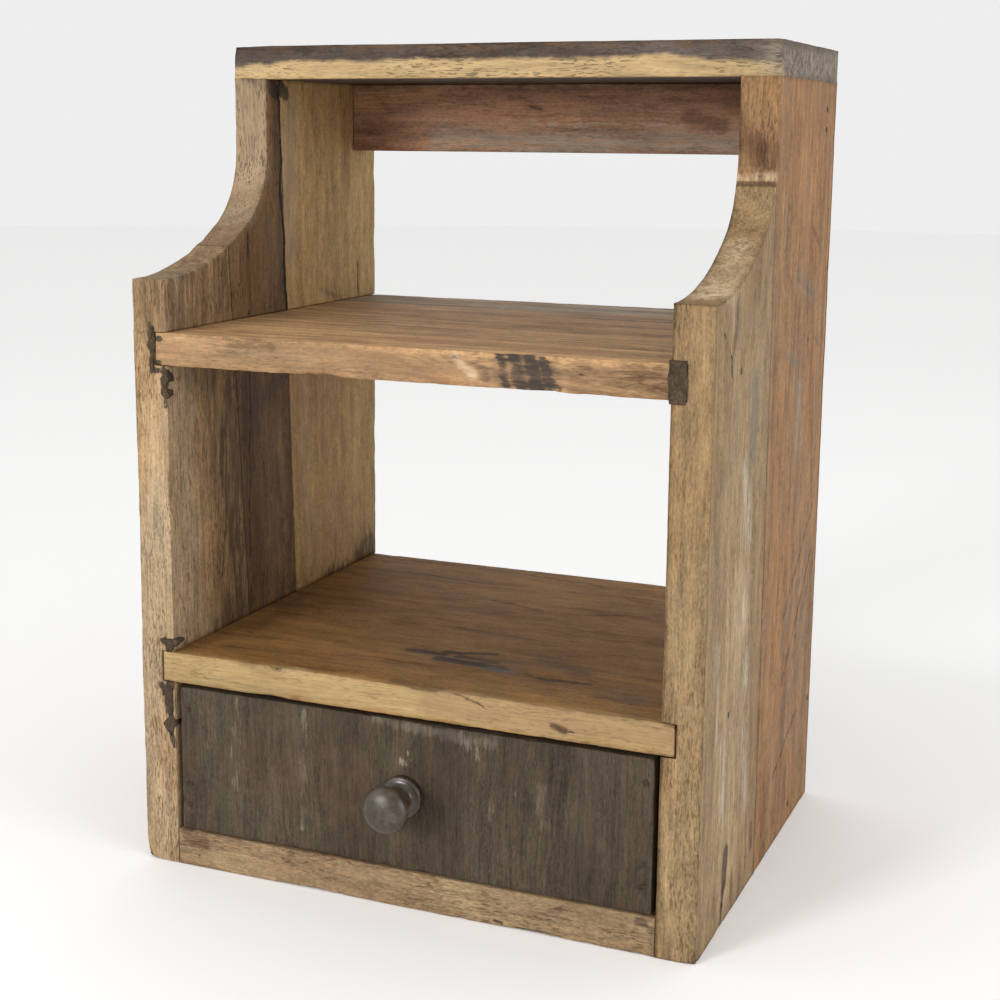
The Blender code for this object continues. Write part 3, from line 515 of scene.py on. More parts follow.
class CabinetColours(bpy.types.PropertyGroup):
    """Body and second colour of each board, and the colours of the other finishes."""

    top: tone("Top", "Body of the top board", (0.060, 0.042, 0.032))
    top_second: tone("Top, second", "Second colour of the top board", (0.094, 0.073, 0.062))
    rail: tone("Rail", "Body of the back rail", (0.340, 0.183, 0.100))
    rail_second: tone("Rail, second", "Second colour of the back rail", (0.270, 0.144, 0.090))
    upper_shelf: tone("Upper shelf", "Body of the upper shelf", (0.375, 0.219, 0.104))
    upper_shelf_second: tone("Upper shelf, second", "Second colour", (0.432, 0.258, 0.123))
    lower_shelf: tone("Lower shelf", "Body of the lower shelf", (0.217, 0.113, 0.035))
    lower_shelf_second: tone("Lower shelf, second", "Second colour", (0.270, 0.144, 0.045))
    bottom: tone("Bottom", "Body of the bottom board", (0.278, 0.193, 0.104))
    bottom_second: tone("Bottom, second", "Second colour", (0.240, 0.157, 0.084))
    left_front: tone("Left front", "Body of the left front plank", (0.337, 0.244, 0.146))
    left_front_second: tone("Left front, second", "Second colour", (0.333, 0.216, 0.106))
    left_middle: tone("Left middle", "Body of the left middle plank", (0.154, 0.085, 0.036))
    left_middle_second: tone("Left middle, second", "Second colour", (0.212, 0.126, 0.060))
    left_rear: tone("Left rear", "Body of the left rear plank", (0.460, 0.301, 0.129))
    left_rear_second: tone("Left rear, second", "Second colour", (0.416, 0.269, 0.114))
    right_front: tone("Right front", "Body of the right front plank", (0.259, 0.177, 0.089))
    right_front_second: tone("Right front, second", "Second colour", (0.231, 0.146, 0.068))
    right_rear: tone("Right rear", "Body of the right rear plank", (0.266, 0.135, 0.053))
    right_rear_second: tone("Right rear, second", "Second colour", (0.237, 0.132, 0.061))
    drawer: tone("Drawer front", "Body of the drawer front", (0.047, 0.032, 0.019))
    drawer_second: tone("Drawer front, second", "Second colour", (0.067, 0.049, 0.031))
    box: tone("Drawer box", "Body of the drawer box and the bay's back", (0.344, 0.234, 0.122))
    box_second: tone("Drawer box, second", "Second colour", (0.296, 0.195, 0.101))
    knob: tone("Knob", "Body of the knob", (0.039, 0.027, 0.017))
    knob_worn: tone("Knob, worn", "Worn places of the knob", (0.078, 0.057, 0.043))
    filler: tone("Filler", "Dark filler and the housing plug", (0.043, 0.028, 0.016))
    filler_second: tone("Filler, second", "Pale grit in the filler", (0.094, 0.061, 0.036))
    steel: tone("Nails", "Steel of the nails", (0.054, 0.044, 0.038))
    rust: tone("Rust", "Rust on the nails", (0.055, 0.025, 0.013))
    floor: tone("Floor", "Studio floor", (0.960, 0.958, 0.953))


class CabinetStage(bpy.types.PropertyGroup):
    """Camera, lights and floor."""

    camera_place: FloatVectorProperty(
        name="Camera place", description="Where the camera stands", size=3, unit="LENGTH",
        subtype="TRANSLATION", default=(0.43422, -1.06642, 0.48040))
    camera_turn: FloatVectorProperty(
        name="Camera turn", description="Turn of the camera", size=3, unit="ROTATION",
        subtype="EULER",
        default=(math.radians(79.405), math.radians(-0.419), math.radians(23.219)))
    lens: FloatProperty(name="Lens", description="Focal length of the camera in millimetres",
                        default=61.96, min=1.0)
    shift: FloatVectorProperty(name="Shift", description="Shift of the camera's frame", size=2,
                               default=(0.0324, -0.0450))
    key_place: FloatVectorProperty(
        name="Key place", description="Where the key light stands", size=3, unit="LENGTH",
        subtype="TRANSLATION", default=(-1.05, -2.5, 1.0))
    key_size: size("Key size", "Width of the key light", 0.7)
    fill_place: FloatVectorProperty(
        name="Fill place", description="Where the fill light stands", size=3, unit="LENGTH",
        subtype="TRANSLATION", default=(2.6, -0.7, 0.9))
    fill_size: size("Fill size", "Width of the fill light", 1.6)
    floor_radius: size("Floor radius", "Radius of the studio floor", 8.0)
    key_power: FloatProperty(name="Key power", description="Power of the key light",
                             default=42.0, min=0.0, unit="POWER")
    fill_power: FloatProperty(name="Fill power", description="Power of the fill light",
                              default=24.0, min=0.0, unit="POWER")
    sky: FloatProperty(name="Sky", description="Strength of the white surroundings",
                       default=0.86, min=0.0)


class CabinetSettings(bpy.types.PropertyGroup):
    """All the settings of the cabinet's looks."""

    sizes: PointerProperty(type=CabinetSizes)
    colours: PointerProperty(type=CabinetColours)
    stage: PointerProperty(type=CabinetStage)


# ---------------------------------------------------------------- node helpers


def add_node(tree, kind, inputs=None, **settings):
    """Add a node, set its properties and fill or link its inputs."""
    made = tree.nodes.new(kind)
    for key, value in settings.items():
        setattr(made, key, value)
    for key, value in (inputs or {}).items():
        socket = made.inputs[key]
        if isinstance(value, bpy.types.NodeSocket):
            tree.links.new(value, socket)
        else:
            socket.default_value = value
    return made


def calculate(tree, operation, first, second=0.0, third=0.0):
    """A Math node's result."""
    made = add_node(tree, "ShaderNodeMath", {0: first, 1: second, 2: third},
                    operation=operation)
    return made.outputs[0]


def combine(tree, operation, first, second=(0.0, 0.0, 0.0)):
    """A Vector Math node's vector result."""
    made = add_node(tree, "ShaderNodeVectorMath", {0: first, 1: second}, operation=operation)
    return made.outputs["Vector"]


def stretch(tree, vector, amount):
    """A vector times one number."""
    made = add_node(tree, "ShaderNodeVectorMath", {0: vector, "Scale": amount},
                    operation="SCALE")
    return made.outputs["Vector"]


def project(tree, first, second):
    """Dot product of two vectors."""
    made = add_node(tree, "ShaderNodeVectorMath", {0: first, 1: second},
                    operation="DOT_PRODUCT")
    return made.outputs["Value"]


def ramp(tree, value, low, high, to_low=0.0, to_high=1.0):
    """A value eased from one range to another."""
    made = add_node(tree, "ShaderNodeMapRange",
                    {"Value": value, "From Min": low, "From Max": high, "To Min": to_low,
                     "To Max": to_high}, interpolation_type="SMOOTHSTEP")
    return made.outputs["Result"]


def blend(tree, factor, first, second):
    """One colour over another."""
    made = add_node(tree, "ShaderNodeMix", {0: factor, 6: first, 7: second}, data_type="RGBA")
    return made.outputs[2]


def centred(tree, value):
    """A noise value moved so that its middle is zero."""
    return calculate(tree, "SUBTRACT", value, 0.5)


def cloud(tree, vector, frequency, detail=2.0, roughness=0.5, distortion=0.0):
    """Noise whose frequency along each axis is given."""
    placed = combine(tree, "MULTIPLY", vector, frequency)
    made = add_node(tree, "ShaderNodeTexNoise",
                    {"Vector": placed, "Scale": 1.0, "Detail": detail, "Roughness": roughness,
                     "Distortion": distortion})
    return made.outputs["Fac"]


def new_group(name, inputs, outputs):
    """A node group with the sockets given as (name, type, default)."""
    tree = bpy.data.node_groups.new(name, "ShaderNodeTree")
    for label, kind, default in inputs:
        socket = tree.interface.new_socket(label, in_out="INPUT", socket_type=kind)
        if default is not None:
            socket.default_value = default
    for label, kind in outputs:
        tree.interface.new_socket(label, in_out="OUTPUT", socket_type=kind)
    entry = tree.nodes.new("NodeGroupInput").outputs
    result = tree.nodes.new("NodeGroupOutput").inputs
    return tree, entry, result


def make_wood_group():
    """Reclaimed wood: figure, fibres, pores and grime along the first axis of its vector."""
    tree, entry, result = new_group(
        "reclaimed_wood",
        [("Grain", "NodeSocketVector", None),
         ("Body", "NodeSocketColor", (0.4, 0.3, 0.2, 1.0)),
         ("Second", "NodeSocketColor", (0.3, 0.2, 0.1, 1.0)),
         ("Figure", "NodeSocketFloat", 0.5),
         ("Fibre", "NodeSocketFloat", 0.5),
         ("Pores", "NodeSocketFloat", 0.5),
         ("Grime", "NodeSocketFloat", 0.5)],
        [("Color", "NodeSocketColor"), ("Roughness", "NodeSocketFloat"),
         ("Height", "NodeSocketFloat")])
    drift = cloud(tree, entry["Grain"], (5.0, 14.0, 14.0), 2.0)
    drift = calculate(tree, "MULTIPLY", centred(tree, drift), 0.016)
    across = add_node(tree, "ShaderNodeCombineXYZ", {"Y": drift, "Z": drift}).outputs[0]
    grain = combine(tree, "ADD", entry["Grain"], across)
    field = cloud(tree, grain, (2.2, 22.0, 22.0), 2.0, 0.5, 0.4)
    rings = calculate(tree, "PINGPONG", calculate(tree, "MULTIPLY", field, 13.0), 1.0)
    layer = {name: cloud(tree, grain, *noise_of) for name, noise_of in WOOD_LAYERS.items()}
    crowd = ramp(tree, layer["crowd"], 0.38, 0.60, 0.25, 1.0)
    pores = calculate(tree, "MULTIPLY", ramp(tree, layer["pores"], 0.53, 0.64), crowd)
    pores = calculate(tree, "MULTIPLY", pores, entry["Pores"])
    patch = ramp(tree, layer["patch"], 0.40, 0.60)
    grime = calculate(tree, "MULTIPLY", ramp(tree, layer["grime"], 0.50, 0.70), entry["Grime"])
    ground = blend(tree, patch, entry["Body"], entry["Second"])
    level = calculate(tree, "MULTIPLY", centred(tree, rings), entry["Figure"])
    level = calculate(tree, "MULTIPLY_ADD", level, 0.45, 1.0)
    fine = calculate(tree, "MULTIPLY_ADD", centred(tree, layer["streaks"]), 0.6,
                     centred(tree, layer["fibre"]))
    level = calculate(tree, "MULTIPLY_ADD", calculate(tree, "MULTIPLY", fine, entry["Fibre"]),
                      2.6, level)
    level = calculate(tree, "MULTIPLY_ADD", centred(tree, layer["mottle"]), 1.0, level)
    level = calculate(tree, "MULTIPLY_ADD", centred(tree, layer["fleck"]), 1.2, level)
    lit = stretch(tree, ground, calculate(tree, "MAXIMUM", level, 0.2))
    pored = blend(tree, pores, lit, combine(tree, "MULTIPLY", lit, PORE_TINT))
    grimy = combine(tree, "MULTIPLY", pored, GRIME_TINT)
    tree.links.new(blend(tree, grime, pored, grimy), result["Color"])
    rough = calculate(tree, "MULTIPLY_ADD", layer["fibre"], 0.22, 0.55)
    rough = calculate(tree, "MULTIPLY_ADD", grime, 0.12, rough)
    tree.links.new(rough, result["Roughness"])
    height = calculate(tree, "MULTIPLY_ADD", layer["fibre"], 0.5,
                       calculate(tree, "MULTIPLY", rings, 0.1))
    height = calculate(tree, "MULTIPLY_ADD", layer["mottle"], 0.25, height)
    height = calculate(tree, "MULTIPLY_ADD", pores, -0.5, height)
    tree.links.new(height, result["Height"])
    return tree


def make_mark_group():
    """How much of a mark lies at a point: 1 along the line from Start to End, 0 outside it.

    Wander moves the outline by up to Ragged, and Breaks wears through the soft marks.
    """
    tree, entry, result = new_group(
        "worn_mark",
        [("Place", "NodeSocketVector", None), ("Wander", "NodeSocketFloat", 0.0),
         ("Breaks", "NodeSocketFloat", 1.0),
         ("Start", "NodeSocketVector", None), ("End", "NodeSocketVector", None),
         ("Width", "NodeSocketFloat", 0.002), ("Soft", "NodeSocketFloat", 0.5),
         ("Ragged", "NodeSocketFloat", 0.001), ("Strength", "NodeSocketFloat", 1.0)],
        [("Factor", "NodeSocketFloat")])
    out = combine(tree, "SUBTRACT", entry["Place"], entry["Start"])
    line = combine(tree, "SUBTRACT", entry["End"], entry["Start"])
    long = calculate(tree, "MAXIMUM", project(tree, line, line), 1e-9)
    share = calculate(tree, "DIVIDE", project(tree, out, line), long)
    share = calculate(tree, "MINIMUM", calculate(tree, "MAXIMUM", share, 0.0), 1.0)
    off = combine(tree, "SUBTRACT", out, stretch(tree, line, share))
    away = add_node(tree, "ShaderNodeVectorMath", {0: off}, operation="LENGTH")
    away = calculate(tree, "MULTIPLY_ADD", entry["Wander"], entry["Ragged"],
                     away.outputs["Value"])
    inner = calculate(tree, "MULTIPLY", entry["Width"],
                      calculate(tree, "SUBTRACT", 1.0, entry["Soft"]))
    factor = ramp(tree, away, inner, entry["Width"], 1.0, 0.0)
    lost = calculate(tree, "MULTIPLY", calculate(tree, "SUBTRACT", 1.0, entry["Breaks"]),
                     calculate(tree, "MULTIPLY", entry["Soft"], entry["Soft"]))
    factor = calculate(tree, "MULTIPLY", factor, calculate(tree, "SUBTRACT", 1.0, lost))
    tree.links.new(calculate(tree, "MULTIPLY", factor, entry["Strength"]), result["Factor"])
    return tree


def shade(material, tree, colour, roughness, height, metallic=0.0, bump=0.5, depth=0.0004,
          gloss=0.20):
    """Finish a material from its colour, roughness and height."""
    shader = tree.nodes["Principled BSDF"]
    relief = add_node(tree, "ShaderNodeBump", {"Strength": bump, "Distance": depth,
                                               "Height": height})
    tree.links.new(colour, shader.inputs["Base Color"])
    tree.links.new(roughness, shader.inputs["Roughness"])
    tree.links.new(relief.outputs["Normal"], shader.inputs["Normal"])
    shader.inputs["Metallic"].default_value = metallic
    shader.inputs["Specular IOR Level"].default_value = gloss
    return material


def new_material(name):
    """An empty material and its node tree."""
    made = bpy.data.materials.new(name)
    made.use_nodes = True
    return made, made.node_tree


def nail_marks(node):
    """A dark mark round each nail's head that shows on a board, in millimetres."""
    low, high = (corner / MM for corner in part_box(node))
    marks = []
    for place in nail_places():
        place = place / MM
        inside = all(low[axis] - 1 < place[axis] < high[axis] + 1 for axis in range(3))
        on_face = any(abs(place[axis] - side[axis]) < 1
                      for axis in range(3) for side in (low, high))
        if inside and on_face:
            marks.append(("crack", tuple(place), tuple(place), NAIL_MARK_WIDTH, 0.95))
    return marks


def grained_base(tree, node, grain, body, second):
    """The shared wood group, set up for one board."""
    base = add_node(tree, "ShaderNodeGroup", node_tree=bpy.data.node_groups["reclaimed_wood"])
    tree.links.new(grain, base.inputs["Grain"])
    base.inputs["Body"].default_value = (*body, 1.0)
    base.inputs["Second"].default_value = (*second, 1.0)
    for label, value in zip(("Figure", "Fibre", "Pores", "Grime"), GRAIN[node][1:]):
        base.inputs[label].default_value = value
    return base


def add_mark(tree, mark, shared):
    """How much of one mark lies at a point. Shared holds what all the marks of a board read."""
    kind, start, end, width, strength = mark
    soft, ragged = MARK_KINDS[kind][1:]
    made = add_node(tree, "ShaderNodeGroup", node_tree=bpy.data.node_groups["worn_mark"])
    for label, source in shared.items():
        tree.links.new(source, made.inputs[label])
    own = {"Start": Vector(start) * MM, "End": Vector(end) * MM, "Width": width * MM,
           "Soft": soft, "Ragged": ragged * MM, "Strength": strength}
    for label, value in own.items():
        made.inputs[label].default_value = value
    return made.outputs["Factor"]


def add_edge_dirt(tree, place, colour):
    """Darken a board's worn edges and its joints, from the mesh's own attributes."""
    worn = add_node(tree, "ShaderNodeAttribute", attribute_name="edge_wear").outputs["Fac"]
    patches = ramp(tree, cloud(tree, place, (90.0, 90.0, 90.0), 4.0, 0.65), 0.42, 0.62, 0.0, 0.40)
    rubbed = calculate(tree, "MULTIPLY", worn, patches)
    colour = blend(tree, rubbed, colour, combine(tree, "MULTIPLY", colour, RUBBED_TINT))
    seam = add_node(tree, "ShaderNodeAttribute", attribute_name="seam_dirt").outputs["Fac"]
    dirt = ramp(tree, seam, 0.78, 1.0, 0.0, 0.65)
    return blend(tree, dirt, colour, combine(tree, "MULTIPLY", colour, SEAM_TINT))


def wood(node, colours, tones):
    """The material of one board: its grain, its own marks and its worn edges."""
    material, tree = new_material(node + "_wood")
    place = add_node(tree, "ShaderNodeTexCoord").outputs["Object"]
    shift = GRAIN_SHIFT * sorted(GRAIN).index(node)
    grain = add_node(tree, "ShaderNodeMapping",
                     {"Vector": place, "Rotation": GRAIN_TURNS[GRAIN[node][0]],
                      "Location": (shift, 0.13 * shift, 0.29 * shift)}).outputs[0]
    base = grained_base(tree, node, grain, getattr(colours, tones),
                        getattr(colours, tones + "_second"))
    colour, height = base.outputs["Color"], base.outputs["Height"]
    bend = add_node(tree, "ShaderNodeTexNoise",
                    {"Vector": place, "Scale": 30.0, "Detail": 4.0, "Roughness": 0.6})
    bend = combine(tree, "SUBTRACT", bend.outputs["Color"], (0.5, 0.5, 0.5))
    wander = centred(tree, cloud(tree, grain, (90.0, 330.0, 330.0), 4.0, 0.62))
    breaks = cloud(tree, grain, (28.0, 240.0, 240.0), 4.0, 0.65)
    shared = {"Place": combine(tree, "ADD", place, stretch(tree, bend, MARK_BEND)),
              "Wander": calculate(tree, "MULTIPLY", wander, 2.0),
              "Breaks": ramp(tree, breaks, 0.38, 0.58)}
    level = calculate(tree, "MULTIPLY_ADD", base.outputs["Height"], 1.9, 0.18)
    level = calculate(tree, "MAXIMUM", level, 0.45)
    for mark in (*MARKS.get(node, ()), *nail_marks(node)):
        kind = mark[0]
        factor = add_mark(tree, mark, shared)
        colour = blend(tree, factor, colour, stretch(tree, MARK_KINDS[kind][0], level))
        if kind in ENGRAVED_MARKS:
            height = calculate(tree, "MULTIPLY_ADD", factor, -0.8, height)
    colour = add_edge_dirt(tree, place, colour)
    return shade(material, tree, colour, base.outputs["Roughness"], height)


def dark_filler(name, body, second):
    """Dark, gritty filler."""
    material, tree = new_material(name)
    place = add_node(tree, "ShaderNodeTexCoord").outputs["Object"]
    grit = cloud(tree, place, (700.0, 700.0, 500.0), 4.0, 0.65)
    lumps = cloud(tree, place, (190.0, 190.0, 120.0), 3.0, 0.6)
    colour = blend(tree, ramp(tree, grit, 0.42, 0.72), (*body, 1.0), (*second, 1.0))
    colour = stretch(tree, colour, ramp(tree, lumps, 0.3, 0.7, 0.65, 1.25))
    roughness = ramp(tree, grit, 0.3, 0.7, 0.70, 0.92)
    height = calculate(tree, "ADD", calculate(tree, "MULTIPLY", grit, 0.4), lumps)
    return shade(material, tree, colour, roughness, height, bump=0.7, depth=0.0006)


def knob_finish(body, second):
    """Satin, handled, dark turned wood."""
    material, tree = new_material("turned_knob_wood")
    place = add_node(tree, "ShaderNodeTexCoord").outputs["Object"]
    fibre = cloud(tree, place, (420.0, 60.0, 420.0), 4.0, 0.6)
    wear = cloud(tree, place, (90.0, 60.0, 90.0), 2.0, 0.5)
    rings = cloud(tree, place, (4.0, 900.0, 4.0), 2.0, 0.5)
    colour = blend(tree, ramp(tree, wear, 0.42, 0.70), (*body, 1.0), (*second, 1.0))
    colour = stretch(tree, colour, ramp(tree, fibre, 0.3, 0.7, 0.72, 1.22))
    roughness = ramp(tree, wear, 0.3, 0.7, 0.26, 0.42)
    height = calculate(tree, "MULTIPLY_ADD", rings, 0.35, calculate(tree, "MULTIPLY", fibre, 0.5))
    return shade(material, tree, colour, roughness, height, bump=0.35, depth=0.0002, gloss=0.5)


def nail_finish(steel, rust):
    """Dull steel with rust."""
    material, tree = new_material("rusted_nail_steel")
    place = add_node(tree, "ShaderNodeTexCoord").outputs["Object"]
    pits = cloud(tree, place, (900.0, 900.0, 900.0), 4.0, 0.65)
    spots = cloud(tree, place, (300.0, 300.0, 300.0), 3.0, 0.6)
    colour = blend(tree, ramp(tree, spots, 0.40, 0.60), (*steel, 1.0), (*rust, 1.0))
    roughness = ramp(tree, pits, 0.3, 0.7, 0.45, 0.85)
    return shade(material, tree, colour, roughness, pits, metallic=0.6, bump=0.5, depth=0.0002)


# ---------------------------------------------------------------- mesh helpers


def box_form(low, high):
    """A box between two corners."""
    form = bmesh.new()
    bmesh.ops.create_cube(form, size=1.0)
    bmesh.ops.scale(form, vec=high - low, verts=form.verts)
    bmesh.ops.translate(form, vec=(low + high) / 2, verts=form.verts)
    return form


def divide_box(form, low, high, spacing):
    """Divide a box's edges along each axis, so that its faces become a grid."""
    for axis in range(3):
        along = [edge for edge in form.edges
                 if abs((edge.verts[1].co - edge.verts[0].co).normalized()[axis]) > ALONG]
        cuts = max(1, round((high[axis] - low[axis]) / spacing) - 1)
        bmesh.ops.subdivide_edges(form, edges=along, cuts=cuts, use_grid_fill=True)


def sharp_edges(form):
    """Edges where two faces meet at a corner."""
    return [edge for edge in form.edges
            if len(edge.link_faces) == 2 and edge.calc_face_angle() > SHARP_ANGLE]


def round_edges(form, edges, width):
    """Round edges with a three-step bevel."""
    if edges:
        bmesh.ops.bevel(form, geom=edges, offset=width, segments=3, profile=0.5,
                        affect="EDGES", material=-1, clamp_overlap=True)


def slice_form(form, axis, places):
    """Cut a form across an axis at each place."""
    for place in places:
        bmesh.ops.bisect_plane(form, geom=form.verts[:] + form.edges[:] + form.faces[:],
                               plane_co=AXES[axis] * place, plane_no=AXES[axis])


def speckle(points, frequency, shift=0.0):
    """Noise from -1 to 1 at each point."""
    x_rate, y_rate, z_rate = frequency
    return np.array([noise.noise((x * x_rate + shift, y * y_rate, z * z_rate))
                     for x, y, z in points])


def box_edge_distance(points, low, high):
    """Distance of each point on a box to the box's nearest edge."""
    gaps = np.minimum(points - np.array(low), np.array(high) - points)
    return np.sort(gaps, axis=1)[:, 1]


def outline_distance(points, outline):
    """Distance of each (y, z) point to a closed outline."""
    nearest = np.full(len(points), 1.0)
    for start, end in zip(outline, outline[1:] + outline[:1]):
        start, line = np.array(start), np.array(end) - np.array(start)
        share = np.clip(((points - start) @ line) / max(line @ line, 1e-12), 0, 1)
        away = np.linalg.norm(points - start - share[:, None] * line, axis=1)
        nearest = np.minimum(nearest, away)
    return nearest


def nail_places():
    """Both ends of every nail, from the frame."""
    places = []
    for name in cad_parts:
        if "_nail_" in name:
            low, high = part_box(name)
            spans = high - low
            axis = max(range(3), key=lambda number: spans[number])
            for corner in (low, high):
                end = (low + high) / 2
                end[axis] = corner[axis]
                places.append(end)
    return places


def weather(form, node, sizes, edge_distance, wear_share=None):
    """Press every point of a board inwards by its waves, worn edges, dents and nail dimples.

    Points where the board meets another stay in place.
    """
    form.normal_update()
    points = np.array([vert.co for vert in form.verts])
    near = edge_distance(points)
    seed = 3.7 * sorted(GRAIN).index(node)
    closeness = np.exp(-(near / sizes.edge_reach) ** 2)
    depth = sizes.wave * (0.5 + 0.5 * speckle(points, WAVE_RATE, seed))
    nibbles = np.maximum(0.0, speckle(points, NIBBLE_RATE, seed) - 0.05)
    chips = np.maximum(0.0, speckle(points, CHIP_RATE, seed + 5) - 0.30)
    depth = depth + sizes.chipping * closeness * (0.15 + 0.8 * nibbles + 2.2 * chips)
    share = np.ones(len(points)) if wear_share is None else wear_share(points)
    depth = depth * share
    rough = 0.75 + 0.5 * speckle(points, DENT_RATE, seed)
    for middle, spans, dent in DENTS.get(node, ()):
        reach = (points - np.array(middle) * MM) / (np.array(spans) * MM)
        falloff = np.exp(-(reach ** 2).sum(1))
        depth = depth + dent * MM * falloff * rough
    for nail in nail_places():
        away = np.linalg.norm(points - np.array(nail), axis=1)
        depth = np.maximum(depth, sizes.nail_dimple * (away < sizes.nail_reach))
    for axis, place in RESTING_FACES.get(node, ()):
        low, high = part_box(node)
        away = np.abs(points[:, axis] - (low, high)[place][axis])
        depth = depth * np.clip((away - sizes.rest_margin) / sizes.rest_reach, 0.0, 1.0)
    form.verts.layers.float.new("edge_wear")
    form.verts.layers.float.new("seam_dirt")
    edge_layer = form.verts.layers.float["edge_wear"]
    seam_layer = form.verts.layers.float["seam_dirt"]
    edges, seams = np.minimum(1.0, closeness * 1.2), share == 0
    for vert, drop, edge, seam in zip(form.verts, depth, edges, seams):
        vert[edge_layer] = edge
        vert[seam_layer] = float(seam)
        vert.co -= vert.normal * drop


def finish_form(form, name, node, body, material):
    """Turn a form into a piece that stands for its node and rides on its body."""
    bmesh.ops.recalc_face_normals(form, faces=form.faces)
    mesh = bpy.data.meshes.new(name)
    form.to_mesh(mesh)
    form.free()
    mesh.shade_smooth()
    mesh.materials.append(material)
    piece = bpy.data.objects.new(name, mesh)
    bpy.context.scene.collection.objects.link(piece)
    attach(piece, body)
    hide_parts(node)
    return piece


def spacing_of(sizes, share=1.0):
    """Mesh spacing of a board, times its share."""
    return sizes.mesh_spacing * share * 1.0


def make_board(settings, node, body, tones, share=1.0):
    """A worn rectangular board in the place of its node."""
    sizes = settings.sizes
    low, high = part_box(node)
    form = box_form(low, high)
    divide_box(form, low, high, spacing_of(sizes, share))
    form.normal_update()
    round_edges(form, sharp_edges(form), sizes.eased_edge)
    weather(form, node, sizes, lambda points: box_edge_distance(points, low, high))
    material = wood(node, settings.colours, tones)
    return finish_form(form, "worn_" + node, node, body, material)


# ---------------------------------------------------------------- sides


def cove_points(sizes, front, upper_front):
    """The cove's line from the step to the upper section, as (y, z)."""
    corner_y = upper_front - sizes.cove_corner
    reach = sizes.cove_sweep - sizes.cove_corner
    tangent = math.asin((corner_y - front) / reach)
    sweep_z = sizes.step_height + sizes.cove_sweep
    corner_z = sweep_z - reach * math.cos(tangent)
    steps = sizes.cove_steps
    line = []
    for step in range(steps):
        angle = tangent * step / steps
        line.append((front + sizes.cove_sweep * math.sin(angle),
                     sweep_z - sizes.cove_sweep * math.cos(angle)))
    for step in range(steps + 1):
        angle = tangent + (math.pi / 2 - tangent) * step / steps
        line.append((corner_y + sizes.cove_corner * math.sin(angle),
                     corner_z - sizes.cove_corner * math.cos(angle)))
    return line


def side_form(sizes, x_low, x_high):
    """A whole side: its outline as one face, drawn out to the side's thickness."""
    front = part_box("upper_shelf")[0].y
    upper_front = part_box("top_board")[0].y
    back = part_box("top_board")[1].y
    side_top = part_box("top_board")[0].z + sizes.joint_gap
    outline = [(front, 0.0), *cove_points(sizes, front, upper_front),
               (upper_front, side_top), (back, side_top), (back, 0.0)]
    form = bmesh.new()
    face = form.faces.new([form.verts.new((x_low, y, z)) for y, z in outline])
    drawn = bmesh.ops.extrude_face_region(form, geom=[face])
    moved = [item for item in drawn["geom"] if isinstance(item, bmesh.types.BMVert)]
    bmesh.ops.translate(form, vec=(x_high - x_low, 0, 0), verts=moved)
    bmesh.ops.recalc_face_normals(form, faces=form.faces)
    return form


def keep_behind(form, place, outwards):
    """Cut a form at a plane, drop what lies outwards and close the cut."""
    geom = form.verts[:] + form.edges[:] + form.faces[:]
    cut = bmesh.ops.bisect_plane(form, geom=geom, plane_co=place, plane_no=outwards,
                                 clear_outer=True)
    rim = [item for item in cut["geom_cut"] if isinstance(item, bmesh.types.BMEdge)]
    bmesh.ops.edgeloop_fill(form, edges=rim)
    bmesh.ops.recalc_face_normals(form, faces=form.faces)


def make_plank(settings, node, tones, seams):
    """A worn plank of a side. Seams are the planes of its joints, as (place, outwards)."""
    sizes = settings.sizes
    low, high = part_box(node)
    form = side_form(sizes, low.x, high.x)
    for place, outwards in seams:
        keep_behind(form, place, outwards)
    inner = max(form.faces, key=lambda face: abs(face.normal.x) * face.calc_area())
    outline = [(vert.co.y, vert.co.z) for vert in inner.verts]

    def at_seam(point):
        """True if a point lies on one of the plank's joints."""
        return any(abs((point - place).dot(outwards)) < SAME_PLACE
                   for place, outwards in seams)

    joints = [edge for edge in sharp_edges(form) if all(at_seam(vert.co) for vert in edge.verts)]
    round_edges(form, joints, sizes.joint_edge)
    under_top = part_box("top_board")[0].z
    open_edges = [edge for edge in sharp_edges(form)
                  if min(vert.co.z for vert in edge.verts) < under_top]
    round_edges(form, open_edges, sizes.eased_edge)
    gap, spacing = sizes.joint_gap, spacing_of(sizes)
    housings = [(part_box(shelf)[0].z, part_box(shelf)[1].z)
                for shelf in ("lower_shelf", "upper_shelf")]
    slice_form(form, 0, np.arange(low.x + spacing, high.x, spacing))
    slice_form(form, 1, np.arange(low.y + spacing, high.y, spacing))
    rows = list(np.arange(spacing, high.z, spacing))
    for base, top in housings:
        rows = [row for row in rows if not (abs(row - base) < 0.001 or abs(row - top) < 0.001)]
        rows.extend((base - gap, base - gap / 2, top + gap / 2, top + gap))
    slice_form(form, 2, sorted(rows))

    def wear_share(points):
        """Full wear away from the joints between planks, and none at them."""
        share = np.ones(len(points))
        for place, outwards in seams:
            away = np.abs((points - np.array(place)) @ np.array(outwards))
            fading = (away - sizes.seam_margin) / sizes.seam_reach
            share = np.minimum(share, np.clip(fading, 0, 1))
        return share

    def edge_distance(points):
        """Distance to the plank's nearest edge."""
        through = np.minimum(points[:, 0] - low.x, high.x - points[:, 0])
        return np.maximum(through, outline_distance(points[:, 1:], outline))

    weather(form, node, sizes, edge_distance, wear_share)
    outer = low.x if low.x < 0 and high.x < 0 else high.x
    share = 1 - (sizes.housing_depth + gap) / (high.x - low.x)
    for vert in form.verts:
        for base, top in housings:
            if base - gap * 0.75 < vert.co.z < top + gap * 0.75:
                vert.co.x = outer + (vert.co.x - outer) * share
    material = wood(node, settings.colours, tones)
    return finish_form(form, "worn_" + node, node, "carcass", material)


